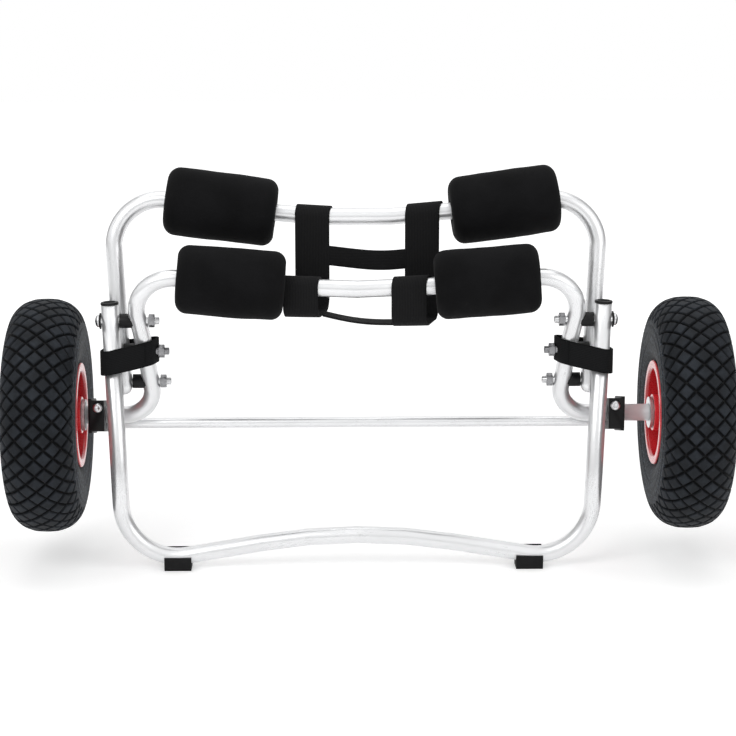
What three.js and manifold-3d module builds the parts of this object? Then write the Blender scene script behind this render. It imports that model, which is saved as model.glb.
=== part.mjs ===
// A folding kayak cart, folded and upright: two padded arms and a kickstand loop of bent tube
// on two pneumatic wheels. Millimetres, +Z up, +X to the right, -Y towards the viewer.
// The origin is on the floor under the middle between the wheels.
import * as THREE from "three";
import { mergeVertices } from "three/addons/utils/BufferGeometryUtils.js";
import Module from "manifold-3d";

const wasm = await Module();
wasm.setup();

// Fits
const gap = 0.3;
const weldDistance = 0.001;

// Frame tube, shared by the kickstand, the front arm and the rear arm
const tubeDiameter = 19;
const tubeWall = 2;
const tubeRadius = tubeDiameter / 2;
const boreRadius = tubeRadius - tubeWall;

// Heights above the floor and above the axle
const axleHeight = 168.4;
const pivotHeight = 41;
const stopHeight = 77;
const kickstandBoltHeight = 113;

// Where the frame's middle lies, against the middle between the wheels
const frameShift = 12.6;

// Kickstand loop, in an upright plane in front of the axle, outside the front arm's legs
const kickstandForward = 36;
const kickstandOutside = 30.21;
const kickstandFlare = 9.6;
const kickstandFootDepth = 165;
const kickstandFootPeakDepth = 121.3;
const kickstandCornerRadius = 62;
const kickstandBowRadius = 650;

// Front arm, in a plane through the axle that leans forward to the kickstand bolt
const frontStubHalfWidth = 223;
const frontLowerFlare = 12.5;
const frontKneeHeight = 95;
const frontUpperFlare = 13.5;
const frontShoulderHeight = 166.5;
const frontBarMiddleHeight = 145.5;
const stubBendRadius = 32;
const frontKneeRadius = 200;
const frontShoulderRadius = 40;
const frontBowRadius = 900;

// Rear arm, in a plane through the pivot bolts that leans back, outside the front arm's legs
const rearLean = THREE.MathUtils.degToRad(9);
const rearOutside = 30.1;
const rearFlare = 13.5;
const rearShoulderHeight = 247;
const rearBarMiddleHeight = 212;
const rearEndBelowPivot = 5.5;
const rearShoulderRadius = 52;
const rearBowRadius = 900;

// Bolts and what is on them
const boltDiameter = 8;
const boltHole = boltDiameter + 2 * gap;
const boltHeadRadius = 7;
const boltHeadRim = 2;
const boltHeadHeight = 5;
const boltHeadShoulderHeight = 3.8;
const boltHeadShoulderShare = 0.71;
const boltEndLength = 5;
const nutAcrossFlats = 13;
const nutHeight = 6.5;
const boltWasherRadius = 9;
const boltWasherHeight = 1.6;
const spacerDiameter = 16;
const bumperDiameter = 17.6;
const bumperLength = 13.6;
const counterboreDepth = 6;
const saddleShare = 0.5;

// Kickstand caps and feet
const capHeight = 3.2;
const capPlugDepth = 9;
const capPlugClearance = 4.5;
const capChamfer = 0.6;
const capRadius = tubeRadius + gap;
const leftFootInset = 60;
const rightFootInset = 68;
const footLength = 30;
const footRubber = 3;
const footGrip = THREE.MathUtils.degToRad(42);
const footDrop = 15;
const footSole = 11;

// Cross rod and axle clamps
const rodDiameter = 12;
const rodBehindAxle = 14;
const rodBelowAxle = 13;
const rodEndInset = 8;
const clampClearance = 5;
const clampLength = 17.5;
const clampFlange = 4;
const clampFlangeRim = 2;
const clampBack = 25;
const clampFrontTop = 22;
const clampFrontBottom = -13;
const clampBackTop = 12;
const clampBackBottom = -24;
const clampRound = 5;
const clampScrewDiameter = 6;
const clampScrewHead = 10.5;
const clampScrewHeadHeight = 4;
const clampScrewLength = 12;
const clampScrewHoleDepth = 14;
const clampScrewHeight = 14;
const clampScrewInset = 10.7;

// Wheels
const tyreRadius = 130;
const tyreHalfWidth = 40.5;
const treadThickness = 7.5;
const sidewallThickness = 6.5;
const treadGrooveDepth = 2.7;
const rimSeatRadius = 51.3;
const rimFlangeRadius = 58.5;
const rimHalfWidth = 38;
const rimThickness = 2.7;
const beadHeight = 8.5;
const beadWidth = 9;
const beadEase = 0.6;
const innerTubeSeatHeight = 10.4;
const innerTubeEase = 2.2;
const innerTubeWall = 2.5;
const valveHoleDiameter = 8;
const hubInnerReach = 38;
const hubOuterReach = 28;
const hubWall = 2.7;
const bearingRadius = 17.5;
const bearingWidth = 11;
const bearingLip = 1.2;
const innerWasherThickness = 4;
const washerClearance = 5;
const outerWasherThickness = 1.8;
const outerWasherRadius = 15;
const pinDiameter = 4.6;
const pinHeadRadius = 4;
const pinHeadHeight = 3;
const pinReach = 5;
const pinEase = 0.6;
const stubEndBeyondPin = 4;

// Foam pads
const padDiameter = 74;
const rearPadLength = 120;
const frontPadLength = 112;
const padRound = 15;
const rearPadLeftShare = 0.5551;
const rearPadRightShare = 0.6029;
const frontPadLeftShare = 0.5542;
const frontPadRightShare = 0.5663;

// Webbing harness
const webbingWidth = 38;
const webbingThickness = 1.8;
const webbingEase = 2.6;
const leftBeltFromRearPad = 104.4;
const leftBeltFromFrontPad = 78.5;
const rightBeltFromRearPad = 88.5;
const rightBeltFromFrontPad = 82.5;
const leftBeltBottom = 119;
const rightBeltBottom = 109;
const harnessBendRadius = 14;
const rearBandLeftHeight = 178.5;
const rearBandRightHeight = 174.5;
const rearBandWidth = 22;
const rearBandWave = 3;
const frontBandWidth = 30;
const frontBandSag = 3.5;

// Hook-and-loop straps round the folded legs
const strapHeight = 27;
const strapThickness = 2;
const strapMiddleHeight = 72.5;
const strapSlopeShare = 0.186;
const strapEase = 1.2;

// Smoothness
const tubeSides = 12;
const boreSides = 8;
const holeSides = 10;
const smallSides = 12;
const wheelSides = 30;
const innerTubeSides = 8;
const bendStep = THREE.MathUtils.degToRad(15);
const fewestBendSteps = 3;

// The widest plug that clears the flat-sided bore of a tube
const plugRadius = boreRadius * Math.cos(Math.PI / boreSides) - gap;

const finishes = {
  aluminium: { color: 0xd9dbdc, roughness: 0.28, metalness: 0.9 },
  steel: { color: 0xc4c6c8, roughness: 0.35, metalness: 0.9 },
  redPaint: { color: 0xc8141c, roughness: 0.22, metalness: 0.1 },
  tyreRubber: { color: 0x1b1e22, roughness: 0.75, metalness: 0 },
  softRubber: { color: 0x111111, roughness: 0.8, metalness: 0 },
  blackPlastic: { color: 0x0d0d0e, roughness: 0.45, metalness: 0 },
  foam: { color: 0x0b0b0c, roughness: 0.9, metalness: 0 },
  webbing: { color: 0x101012, roughness: 0.85, metalness: 0 },
};

const sides = [
  { name: "left", sign: -1, footInset: leftFootInset },
  { name: "right", sign: 1, footInset: rightFootInset },
];

function meshOf(name, geometry, finish) {
  const mesh = new THREE.Mesh(geometry, new THREE.MeshStandardMaterial(finishes[finish]));
  mesh.name = name;
  return mesh;
}

function solidOf(geometry) {
  const plain = geometry.index ? geometry.toNonIndexed() : geometry;
  const bare = new THREE.BufferGeometry().setAttribute("position", plain.getAttribute("position"));
  const merged = mergeVertices(bare, weldDistance);
  return new wasm.Manifold(
    new wasm.Mesh({
      numProp: 3,
      vertProperties: merged.attributes.position.array,
      triVerts: new Uint32Array(merged.index.array),
    }),
  );
}

function geometryOf(solid) {
  const mesh = solid.getMesh();
  const geometry = new THREE.BufferGeometry();
  geometry.setAttribute("position", new THREE.BufferAttribute(new Float32Array(mesh.vertProperties), 3));
  geometry.setIndex(new THREE.BufferAttribute(new Uint32Array(mesh.triVerts), 1));
  geometry.computeVertexNormals();
  return geometry;
}

function cut(solid, tools) {
  return tools.reduce((left, tool) => left.subtract(tool), solid);
}

// A route of straight runs and round bends, with its stations where the shape needs them
class BentRoute extends THREE.Curve {
  constructor(stations) {
    super();
    this.stations = stations;
  }

  between(share) {
    const place = share * (this.stations.length - 1);
    const first = Math.min(Math.floor(place), this.stations.length - 2);
    return { from: this.stations[first], to: this.stations[first + 1], share: place - first };
  }

  getPoint(share, target = new THREE.Vector3()) {
    const span = this.between(share);
    return target.lerpVectors(span.from.point, span.to.point, span.share);
  }

  getPointAt(share, target) {
    return this.getPoint(share, target);
  }

  getTangentAt(share, target = new THREE.Vector3()) {
    const span = this.between(share);
    return target.lerpVectors(span.from.tangent, span.to.tangent, span.share).normalize();
  }
}

// The stations of one bend that rounds the corner between two straight runs
function bendStations(before, corner, after, radius) {
  const incoming = corner.clone().sub(before).normalize();
  const outgoing = after.clone().sub(corner).normalize();
  const turn = incoming.angleTo(outgoing);
  const setback = radius * Math.tan(turn / 2);
  const start = corner.clone().addScaledVector(incoming, -setback);
  const inward = outgoing.clone().addScaledVector(incoming, -Math.cos(turn)).normalize();
  const steps = Math.max(fewestBendSteps, Math.ceil(turn / bendStep));
  return Array.from({ length: steps + 1 }, (_, step) => {
    const angle = (turn * step) / steps;
    const point = start.clone();
    point.addScaledVector(incoming, radius * Math.sin(angle));
    point.addScaledVector(inward, radius * (1 - Math.cos(angle)));
    const tangent = incoming.clone().multiplyScalar(Math.cos(angle));
    tangent.addScaledVector(inward, Math.sin(angle));
    return { point, tangent };
  });
}

// Two bends may meet in one point, which then stays once
function withoutRepeats(stations) {
  return stations.filter((station, index) => {
    return !index || station.point.distanceTo(stations[index - 1].point) > gap;
  });
}

// corners is a list of { at, radius }; the two ends have no radius
function bentRoute(corners) {
  const places = corners.map((corner) => corner.at);
  const last = places.length - 1;
  const stations = [{ point: places[0], tangent: places[1].clone().sub(places[0]).normalize() }];
  for (let index = 1; index < last; index += 1) {
    const bend = bendStations(places[index - 1], places[index], places[index + 1], corners[index].radius);
    stations.push(...bend);
  }
  stations.push({ point: places[last], tangent: places[last].clone().sub(places[last - 1]).normalize() });
  return new BentRoute(withoutRepeats(stations));
}

function mirrored(corners) {
  const other = corners.map((corner) => ({ ...corner, at: corner.at.clone().setX(-corner.at.x) }));
  return other.reverse();
}

function sweep(section, route) {
  const steps = route.stations.length - 1;
  return new THREE.ExtrudeGeometry(section, { steps, extrudePath: route, curveSegments: tubeSides / 2 });
}

function disc(radius) {
  return new THREE.Shape().absarc(0, 0, radius, 0, 2 * Math.PI);
}

function ring(radius, holeRadius) {
  const shape = disc(radius);
  shape.holes.push(new THREE.Path(disc(holeRadius).getPoints(boreSides / 2)));
  return shape;
}

function hollowTube(route) {
  return solidOf(sweep(ring(tubeRadius, boreRadius), route));
}

function roomForTube(route) {
  return solidOf(sweep(disc(tubeRadius + gap), route));
}

// A turned piece along X: profile points are [radius, distance], distance growing to the outside
function turnedAlongX(profile, sign, segments = smallSides) {
  const points = profile.map(([radius, along]) => new THREE.Vector2(radius, along));
  return new THREE.LatheGeometry(points, segments).rotateZ((-sign * Math.PI) / 2);
}

function tubeProfile(outer, inner, from, to) {
  return [
    [inner, from],
    [outer, from],
    [outer, to],
    [inner, to],
    [inner, from],
  ];
}

function rodProfile(radius, from, to) {
  return [
    [0, from],
    [radius, from],
    [radius, to],
    [0, to],
  ];
}

// The bolts' lines, as [y, z] against the axle
const frontLean = Math.atan(kickstandForward / kickstandBoltHeight);
const boltLine = (height) => ({ y: -kickstandForward * (height / kickstandBoltHeight), z: height });
const pivotLine = boltLine(pivotHeight);
const stopLine = boltLine(stopHeight);
const kickstandLine = boltLine(kickstandBoltHeight);

const onKickstand = (x, z) => new THREE.Vector3(x, -kickstandForward, z);
const onFrontArm = (x, z) => new THREE.Vector3(x, -z * Math.tan(frontLean), z);
const onRearArm = (x, z) =>
  new THREE.Vector3(x, pivotLine.y + (z - pivotHeight) * Math.tan(rearLean), z);

// Half width of a leg at a height, between two corners of its route
function halfWidthAt(height, lower, upper) {
  return THREE.MathUtils.mapLinear(height, lower.z, upper.z, lower.x, upper.x);
}

// How far a flat face square to X stays from a leaning leg's axis so that it clears the tube
function faceSetback(lower, upper, radius) {
  const slope = Math.abs((upper.x - lower.x) / (upper.z - lower.z));
  return tubeRadius * Math.hypot(1, slope) + slope * radius + gap;
}

const frontKneeHalfWidth = frontStubHalfWidth + frontLowerFlare;
const frontCorners = {
  stub: onFrontArm(frontStubHalfWidth, 0),
  knee: onFrontArm(frontKneeHalfWidth, frontKneeHeight),
  shoulder: onFrontArm(frontKneeHalfWidth + frontUpperFlare, frontShoulderHeight),
  middle: onFrontArm(0, frontBarMiddleHeight),
};

// The kickstand's legs reach over their bolts by the room that the caps' plugs need
const kickstandTopHeight = kickstandBoltHeight + boltHole / 2 + capPlugClearance + capPlugDepth;
const kickstandSlope = kickstandFlare / (kickstandTopHeight + kickstandFootDepth);
const kickstandAtBolt =
  halfWidthAt(kickstandBoltHeight, frontCorners.knee, frontCorners.shoulder) + kickstandOutside;
const kickstandTopHalfWidth = kickstandAtBolt + kickstandSlope * (kickstandTopHeight - kickstandBoltHeight);
const kickstandFootHalfWidth = kickstandTopHalfWidth - kickstandFlare;
const kickstandCorners = {
  top: onKickstand(kickstandTopHalfWidth, kickstandTopHeight),
  foot: onKickstand(kickstandFootHalfWidth, -kickstandFootDepth),
  middle: onKickstand(0, -kickstandFootPeakDepth),
};

function kickstandRoute() {
  const right = [
    { at: kickstandCorners.foot, radius: kickstandCornerRadius },
    { at: kickstandCorners.top },
  ];
  return bentRoute([...mirrored(right), { at: kickstandCorners.middle, radius: kickstandBowRadius }, ...right]);
}

// The clamps stand beside the kickstand's legs, and the wheels beside the clamps
const kickstandAtAxle = kickstandFootHalfWidth + kickstandSlope * kickstandFootDepth;
const clampInnerFace = kickstandAtAxle + tubeRadius + clampClearance;
const clampOuterFace = clampInnerFace + clampLength;
const clampScrewMiddle = clampOuterFace - clampScrewInset;
const rodHalfLength = clampOuterFace - rodEndInset;
const hubMiddle = clampOuterFace + washerClearance + innerWasherThickness + gap + hubInnerReach;
const wheelMiddle = hubMiddle + frameShift;

// Wheel middles, against the frame's middle
const wheelPlace = (sign) => sign * wheelMiddle + frameShift;
const pinPlace = hubOuterReach + outerWasherThickness + pinHeadRadius + pinEase;
const stubReach = pinPlace + pinDiameter / 2 + stubEndBeyondPin;

function frontArmRoute() {
  const leg = [
    { at: frontCorners.shoulder, radius: frontShoulderRadius },
    { at: frontCorners.knee, radius: frontKneeRadius },
    { at: frontCorners.stub, radius: stubBendRadius },
  ];
  const leftEnd = { at: onFrontArm(wheelPlace(-1) - stubReach, 0) };
  const rightEnd = { at: onFrontArm(wheelPlace(1) + stubReach, 0) };
  const middle = { at: frontCorners.middle, radius: frontBowRadius };
  return bentRoute([leftEnd, ...mirrored(leg), middle, ...leg, rightEnd]);
}

const rearPivotHalfWidth = halfWidthAt(pivotHeight, frontCorners.stub, frontCorners.knee) + rearOutside;
const rearCorners = {
  pivot: onRearArm(rearPivotHalfWidth, pivotHeight),
  shoulder: onRearArm(rearPivotHalfWidth + rearFlare, rearShoulderHeight),
  middle: onRearArm(0, rearBarMiddleHeight),
};

function rearArmEnd() {
  const upward = rearCorners.shoulder.clone().sub(rearCorners.pivot).normalize();
  return rearCorners.pivot.clone().addScaledVector(upward, -rearEndBelowPivot);
}

function rearArmRoute() {
  const right = [{ at: rearCorners.shoulder, radius: rearShoulderRadius }, { at: rearArmEnd() }];
  return bentRoute([...mirrored(right), { at: rearCorners.middle, radius: rearBowRadius }, ...right]);
}

const kickstand = kickstandRoute();
const frontArm = frontArmRoute();
const rearArm = rearArmRoute();
const roomForKickstand = roomForTube(kickstand);
const roomForFrontArm = roomForTube(frontArm);

const nutCornerRadius = nutAcrossFlats / 2 / Math.cos(Math.PI / 6);

// Where the bolts cross the legs: inner is the front arm's half width, outer the other leg's,
// and the faces are where the nuts and heads sit
const boltPlaces = {
  pivot: {
    line: pivotLine,
    outer: rearPivotHalfWidth,
    inner: halfWidthAt(pivotHeight, frontCorners.stub, frontCorners.knee),
    nutSetback: faceSetback(frontCorners.stub, frontCorners.knee, nutCornerRadius),
    headSetback: faceSetback(rearCorners.pivot, rearCorners.shoulder, boltHeadRadius),
    spacerSetback: faceSetback(rearCorners.pivot, rearCorners.shoulder, spacerDiameter / 2),
  },
  stop: {
    line: stopLine,
    inner: halfWidthAt(stopHeight, frontCorners.stub, frontCorners.knee),
  },
  kickstand: {
    line: kickstandLine,
    outer: halfWidthAt(kickstandBoltHeight, kickstandCorners.foot, kickstandCorners.top),
    inner: halfWidthAt(kickstandBoltHeight, frontCorners.knee, frontCorners.shoulder),
    nutSetback: faceSetback(frontCorners.knee, frontCorners.shoulder, nutCornerRadius),
    headSetback: faceSetback(kickstandCorners.foot, kickstandCorners.top, boltWasherRadius),
    spacerSetback: faceSetback(kickstandCorners.foot, kickstandCorners.top, spacerDiameter / 2),
  },
};

// The straps' reach: from the front arm's leg at the lowest to the kickstand's outer side
const strapMiddle = (boltPlaces.kickstand.outer + boltPlaces.stop.inner) / 2;
const strapTilt = (strapSlopeShare * (boltPlaces.kickstand.outer - boltPlaces.stop.inner)) / 2;
const strapLow = strapMiddleHeight + strapTilt - strapHeight / 2;
const strapHigh = strapMiddleHeight + strapTilt + strapHeight / 2;
const strapReach =
  halfWidthAt(strapLow, frontCorners.stub, frontCorners.knee) - tubeRadius - strapEase - strapThickness;

// A round bar along X through the legs on one side, from one half width to another
function crossBar(line, sign, radius, from, to, segments = smallSides) {
  const bar = turnedAlongX(rodProfile(radius, from, to), sign, segments);
  return solidOf(bar.translate(0, line.y, line.z));
}

function holeThrough(line, halfWidth, sign) {
  return crossBar(line, sign, boltHole / 2, halfWidth - tubeDiameter, halfWidth + tubeDiameter, holeSides);
}

function holesThrough(line, halfWidth) {
  return sides.map(({ sign }) => holeThrough(line, halfWidth, sign));
}

function kickstandTube() {
  const tube = hollowTube(kickstand);
  const holes = holesThrough(boltPlaces.kickstand.line, boltPlaces.kickstand.outer);
  return meshOf("kickstand_tube", geometryOf(cut(tube, holes)), "aluminium");
}

function pinHole(sign) {
  const hole = new THREE.CylinderGeometry(pinDiameter / 2 + gap, pinDiameter / 2 + gap, 2 * tubeDiameter, holeSides);
  return solidOf(hole.rotateX(Math.PI / 2).translate(wheelPlace(sign) + sign * pinPlace, 0, 0));
}

function frontArmTube() {
  const holes = Object.values(boltPlaces).flatMap((place) => holesThrough(place.line, place.inner));
  const pinHoles = sides.map(({ sign }) => pinHole(sign));
  return meshOf("front_arm_tube", geometryOf(cut(hollowTube(frontArm), [...holes, ...pinHoles])), "aluminium");
}

function roundEnd(sign) {
  const end = rearArmEnd();
  const upward = rearCorners.shoulder.clone().sub(rearCorners.pivot).normalize();
  const profile = [new THREE.Vector2(0, -tubeRadius)];
  for (let step = 1; step <= tubeSides / 4; step += 1) {
    const angle = (Math.PI / 2) * (step / (tubeSides / 4));
    profile.push(new THREE.Vector2(tubeRadius * Math.sin(angle), -tubeRadius * Math.cos(angle)));
  }
  profile.push(new THREE.Vector2(tubeRadius - weldDistance, tubeWall), new THREE.Vector2(0, tubeWall));
  const dome = new THREE.LatheGeometry(profile, tubeSides);
  dome.applyQuaternion(new THREE.Quaternion().setFromUnitVectors(new THREE.Vector3(0, 1, 0), upward));
  dome.translate(end.x, end.y, end.z);
  return solidOf(sign > 0 ? dome : mirroredGeometry(dome));
}

function mirroredGeometry(geometry) {
  const mirrorImage = geometry.clone().scale(-1, 1, 1);
  const index = mirrorImage.index.array;
  for (let face = 0; face < index.length; face += 3) {
    [index[face + 1], index[face + 2]] = [index[face + 2], index[face + 1]];
  }
  return mirrorImage;
}

function rearArmTube() {
  const tube = sides.reduce((whole, { sign }) => whole.add(roundEnd(sign)), hollowTube(rearArm));
  const holes = holesThrough(boltPlaces.pivot.line, boltPlaces.pivot.outer);
  return meshOf("rear_arm_tube", geometryOf(cut(tube, holes)), "aluminium");
}

// A bolt from its end inside the front arm's leg to a round head at headFace
function bolt(name, line, sign, endFace, headFace) {
  const shank = boltDiameter / 2;
  const profile = [
    [0, endFace],
    [shank, endFace],
    [shank, headFace],
    [boltHeadRadius, headFace],
    [boltHeadRadius, headFace + boltHeadRim],
    [boltHeadRadius * boltHeadShoulderShare, headFace + boltHeadShoulderHeight],
    [0, headFace + boltHeadHeight],
  ];
  const geometry = turnedAlongX(profile, sign).translate(0, line.y, line.z);
  return meshOf(name, geometry, "steel");
}

function nut(name, line, sign, innerFace) {
  const outline = new THREE.Shape();
  for (let corner = 0; corner < 6; corner += 1) {
    const angle = (corner * Math.PI) / 3;
    const [x, y] = [nutCornerRadius * Math.cos(angle), nutCornerRadius * Math.sin(angle)];
    if (corner) outline.lineTo(x, y);
    else outline.moveTo(x, y);
  }
  outline.closePath();
  outline.holes.push(new THREE.Path().absarc(0, 0, boltHole / 2, 0, 2 * Math.PI));
  const geometry = new THREE.ExtrudeGeometry(outline, {
    depth: nutHeight,
    bevelEnabled: false,
    curveSegments: smallSides / 2,
  });
  geometry.translate(0, 0, -nutHeight / 2).rotateY(Math.PI / 2);
  return meshOf(name, geometry.translate(sign * (innerFace - nutHeight / 2), line.y, line.z), "steel");
}

// A spacer hollowed to sit on the front arm's leg, with a flat face for the leg that turns on it
function saddleSpacer(name, place, sign) {
  const [from, to] = [place.inner + saddleShare * tubeRadius, place.outer - place.spacerSetback];
  const block = crossBar(place.line, sign, spacerDiameter / 2, from, to);
  const bore = crossBar(place.line, sign, boltHole / 2, place.inner, place.outer);
  return meshOf(name, geometryOf(cut(block, [roomForFrontArm, bore])), "blackPlastic");
}

function pivotHardware({ name, sign }) {
  const { line, inner, outer, nutSetback, headSetback } = boltPlaces.pivot;
  const nutFace = inner - nutSetback;
  return [
    bolt(`pivot_bolt_${name}`, line, sign, nutFace - nutHeight - boltEndLength, outer + headSetback),
    nut(`pivot_nut_${name}`, line, sign, nutFace),
    saddleSpacer(`pivot_spacer_${name}`, boltPlaces.pivot, sign),
  ];
}

function kickstandHardware({ name, sign }) {
  const { line, inner, outer, nutSetback, headSetback } = boltPlaces.kickstand;
  const nutFace = inner - nutSetback;
  const washerFace = outer + headSetback;
  const headFace = washerFace + boltWasherHeight + gap;
  const washer = turnedAlongX(
    tubeProfile(boltWasherRadius, boltHole / 2, washerFace, washerFace + boltWasherHeight),
    sign,
  ).translate(0, line.y, line.z);
  return [
    bolt(`kickstand_bolt_${name}`, line, sign, nutFace - nutHeight - boltEndLength, headFace),
    nut(`kickstand_nut_${name}`, line, sign, nutFace),
    meshOf(`kickstand_washer_${name}`, washer, "blackPlastic"),
    saddleSpacer(`kickstand_spacer_${name}`, boltPlaces.kickstand, sign),
  ];
}

function stopHardware({ name, sign }) {
  const { line, inner } = boltPlaces.stop;
  const bumperEnd = inner + tubeRadius + bumperLength;
  const headFace = bumperEnd - counterboreDepth;
  const nutFace = strapReach - gap;
  const block = crossBar(line, sign, bumperDiameter / 2, inner + saddleShare * tubeRadius, bumperEnd);
  const bore = crossBar(line, sign, boltHole / 2, inner, bumperEnd + gap);
  const counterbore = crossBar(line, sign, boltHeadRadius + gap, headFace - gap, bumperEnd + gap);
  return [
    bolt(`stop_bolt_${name}`, line, sign, nutFace - nutHeight - boltEndLength, headFace),
    nut(`stop_nut_${name}`, line, sign, nutFace),
    meshOf(
      `stop_bumper_${name}`,
      geometryOf(cut(block, [roomForFrontArm, bore, counterbore])),
      "blackPlastic",
    ),
  ];
}

function kickstandCap({ name, sign }) {
  const profile = [
    [0, -capPlugDepth],
    [plugRadius, -capPlugDepth],
    [plugRadius, gap],
    [capRadius, gap],
    [capRadius, capHeight - capChamfer],
    [capRadius - capChamfer, capHeight],
    [0, capHeight],
  ];
  const points = profile.map(([radius, along]) => new THREE.Vector2(radius, along));
  const along = kickstandCorners.top.clone().sub(kickstandCorners.foot).normalize();
  along.x *= sign;
  const cap = new THREE.LatheGeometry(points, smallSides);
  cap.applyQuaternion(new THREE.Quaternion().setFromUnitVectors(new THREE.Vector3(0, 1, 0), along));
  cap.translate(sign * kickstandCorners.top.x, kickstandCorners.top.y, kickstandCorners.top.z);
  return meshOf(`kickstand_cap_${name}`, cap, "blackPlastic");
}

// A rubber clip round the back and underside of the foot bar, with a flat sole
function foot({ name, sign, footInset }) {
  const outer = tubeRadius + footRubber;
  const outline = new THREE.Shape();
  outline.moveTo(0, 0);
  outline.lineTo(-outer, 0);
  outline.lineTo(-outer, -footDrop + footRubber);
  outline.lineTo(-footSole, -footDrop);
  outline.lineTo(footSole, -footDrop);
  outline.lineTo(outer, -footDrop + footRubber);
  outline.lineTo(outer, 0);
  outline.absarc(0, 0, outer, 0, footGrip);
  outline.closePath();
  const block = new THREE.ExtrudeGeometry(outline, {
    depth: footLength,
    bevelEnabled: false,
    curveSegments: smallSides / 2,
  });
  block.translate(0, 0, -footLength / 2).rotateX(Math.PI / 2).rotateZ(Math.PI / 2);
  const middle = kickstandFootHalfWidth - footInset;
  block.translate(sign * middle, -kickstandForward, footDrop - axleHeight);
  return meshOf(`foot_${name}`, geometryOf(solidOf(block).subtract(roomForKickstand)), "softRubber");
}

function crossRod() {
  const rod = turnedAlongX(rodProfile(rodDiameter / 2, -rodHalfLength, rodHalfLength), 1);
  return meshOf("cross_rod", rod.translate(0, rodBehindAxle, -rodBelowAxle), "aluminium");
}

// A clamp's outline, which falls towards the back, and stands out by a rim where it is a flange
function clampOutline(front, rim) {
  const back = clampBack + rim;
  const [bottom, top] = [clampBackBottom - rim, clampBackTop + rim];
  const outline = new THREE.Shape();
  outline.moveTo(front, clampFrontBottom - rim);
  outline.lineTo(back - clampRound, bottom);
  outline.absarc(back - clampRound, bottom + clampRound, clampRound, -Math.PI / 2, 0);
  outline.absarc(back - clampRound, top - clampRound, clampRound, 0, Math.PI / 2);
  outline.lineTo(front, clampFrontTop + rim);
  outline.closePath();
  return outline;
}

// An outline in the Y-Z plane, extruded along X between two half widths
function slabAlongX(outline, sign, from, to) {
  const slab = new THREE.ExtrudeGeometry(outline, {
    depth: to - from,
    bevelEnabled: false,
    curveSegments: smallSides / 4,
  });
  slab.rotateX(Math.PI / 2).rotateZ(Math.PI / 2);
  slab.translate(sign > 0 ? from : -to, 0, 0);
  return slab;
}

function axleClamp({ name, sign }) {
  const front = gap + tubeRadius - kickstandForward;
  const flangeFace = clampOuterFace - clampFlange;
  const rodHole = rodDiameter / 2 + gap;
  const screwHole = new THREE.CylinderGeometry(
    clampScrewDiameter / 2 + gap,
    clampScrewDiameter / 2 + gap,
    2 * clampScrewHoleDepth,
    smallSides,
  ).translate(sign * clampScrewMiddle, front, clampScrewHeight);
  const block = solidOf(slabAlongX(clampOutline(front, 0), sign, clampInnerFace, clampOuterFace)).add(
    solidOf(slabAlongX(clampOutline(front, clampFlangeRim), sign, flangeFace, clampOuterFace)),
  );
  const holes = [
    crossBar({ y: 0, z: 0 }, sign, tubeRadius + gap, clampInnerFace - gap, clampOuterFace + gap),
    crossBar({ y: rodBehindAxle, z: -rodBelowAxle }, sign, rodHole, clampInnerFace - gap, rodHalfLength + gap),
    solidOf(screwHole),
  ];
  return meshOf(`axle_clamp_${name}`, geometryOf(cut(block, holes)), "blackPlastic");
}

function clampScrew({ name, sign }) {
  const front = gap + tubeRadius - kickstandForward;
  const shank = clampScrewDiameter / 2;
  const points = [
    [0, -clampScrewLength],
    [shank, -clampScrewLength],
    [shank, gap],
    [clampScrewHead / 2, gap],
    [clampScrewHead / 2, clampScrewHeadHeight / 2],
    [clampScrewHead / 4, clampScrewHeadHeight],
    [0, clampScrewHeadHeight],
  ].map(([radius, along]) => new THREE.Vector2(radius, along));
  const screw = new THREE.LatheGeometry(points, smallSides).rotateX(Math.PI);
  return meshOf(
    `clamp_screw_${name}`,
    screw.translate(sign * clampScrewMiddle, front, clampScrewHeight),
    "steel",
  );
}

// The tyre's outer skin from the crown to the bead, as shares of the height over the rim seat
// and of the half width
const tyreSkinShares = [
  [1, 1 / 3],
  [0.92, 0.64],
  [0.8, 0.87],
  [0.63, 0.98],
  [0.46, 1],
  [0.3, 0.97],
  [0.17, 0.92],
];
const innerTubeTaperShare = 0.08;
const tyreLiningShares = [
  [0.36, 0.9],
  [0.64, 1],
  [0.87, 0.8],
  [0.97, 0.48],
];

const tyreSeat = rimSeatRadius + gap;
const tyreHeight = tyreRadius - tyreSeat;
const tyreSkin = [
  [tyreRadius, 0],
  ...tyreSkinShares.map(([up, out]) => [tyreSeat + up * tyreHeight, out * tyreHalfWidth]),
];

// The tread's blocks: rows from the crown to the edge, the share of the skin's length down to its
// widest ring that carries them, and the share of a block's own width that is its top
const treadRows = 2;
const widestRing = 5;
const treadShare = 0.746;
const blockTopShare = 0.8;

const spanLength = ([radius, along], [nextRadius, nextAlong]) =>
  Math.hypot(nextRadius - radius, nextAlong - along);

function skinLength(lastRing) {
  return tyreSkin.slice(0, lastRing).reduce((sum, point, ring) => sum + spanLength(point, tyreSkin[ring + 1]), 0);
}

const treadBlockWidth = (skinLength(widestRing) * treadShare) / treadRows;

// The skin's point at a distance from the crown's middle
function skinAt(distance) {
  let ring = 0;
  while (ring < widestRing - 1 && skinLength(ring + 1) < distance) ring += 1;
  const [from, to] = [tyreSkin[ring], tyreSkin[ring + 1]];
  const share = (distance - skinLength(ring)) / spanLength(from, to);
  return [from[0] + (to[0] - from[0]) * share, from[1] + (to[1] - from[1]) * share];
}

// A point of the wheel: turn counts blocks round it
function onWheel(turn, [radius, along]) {
  const angle = (2 * Math.PI * turn) / wheelSides;
  return [along, -radius * Math.sin(angle), radius * Math.cos(angle)];
}

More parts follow.
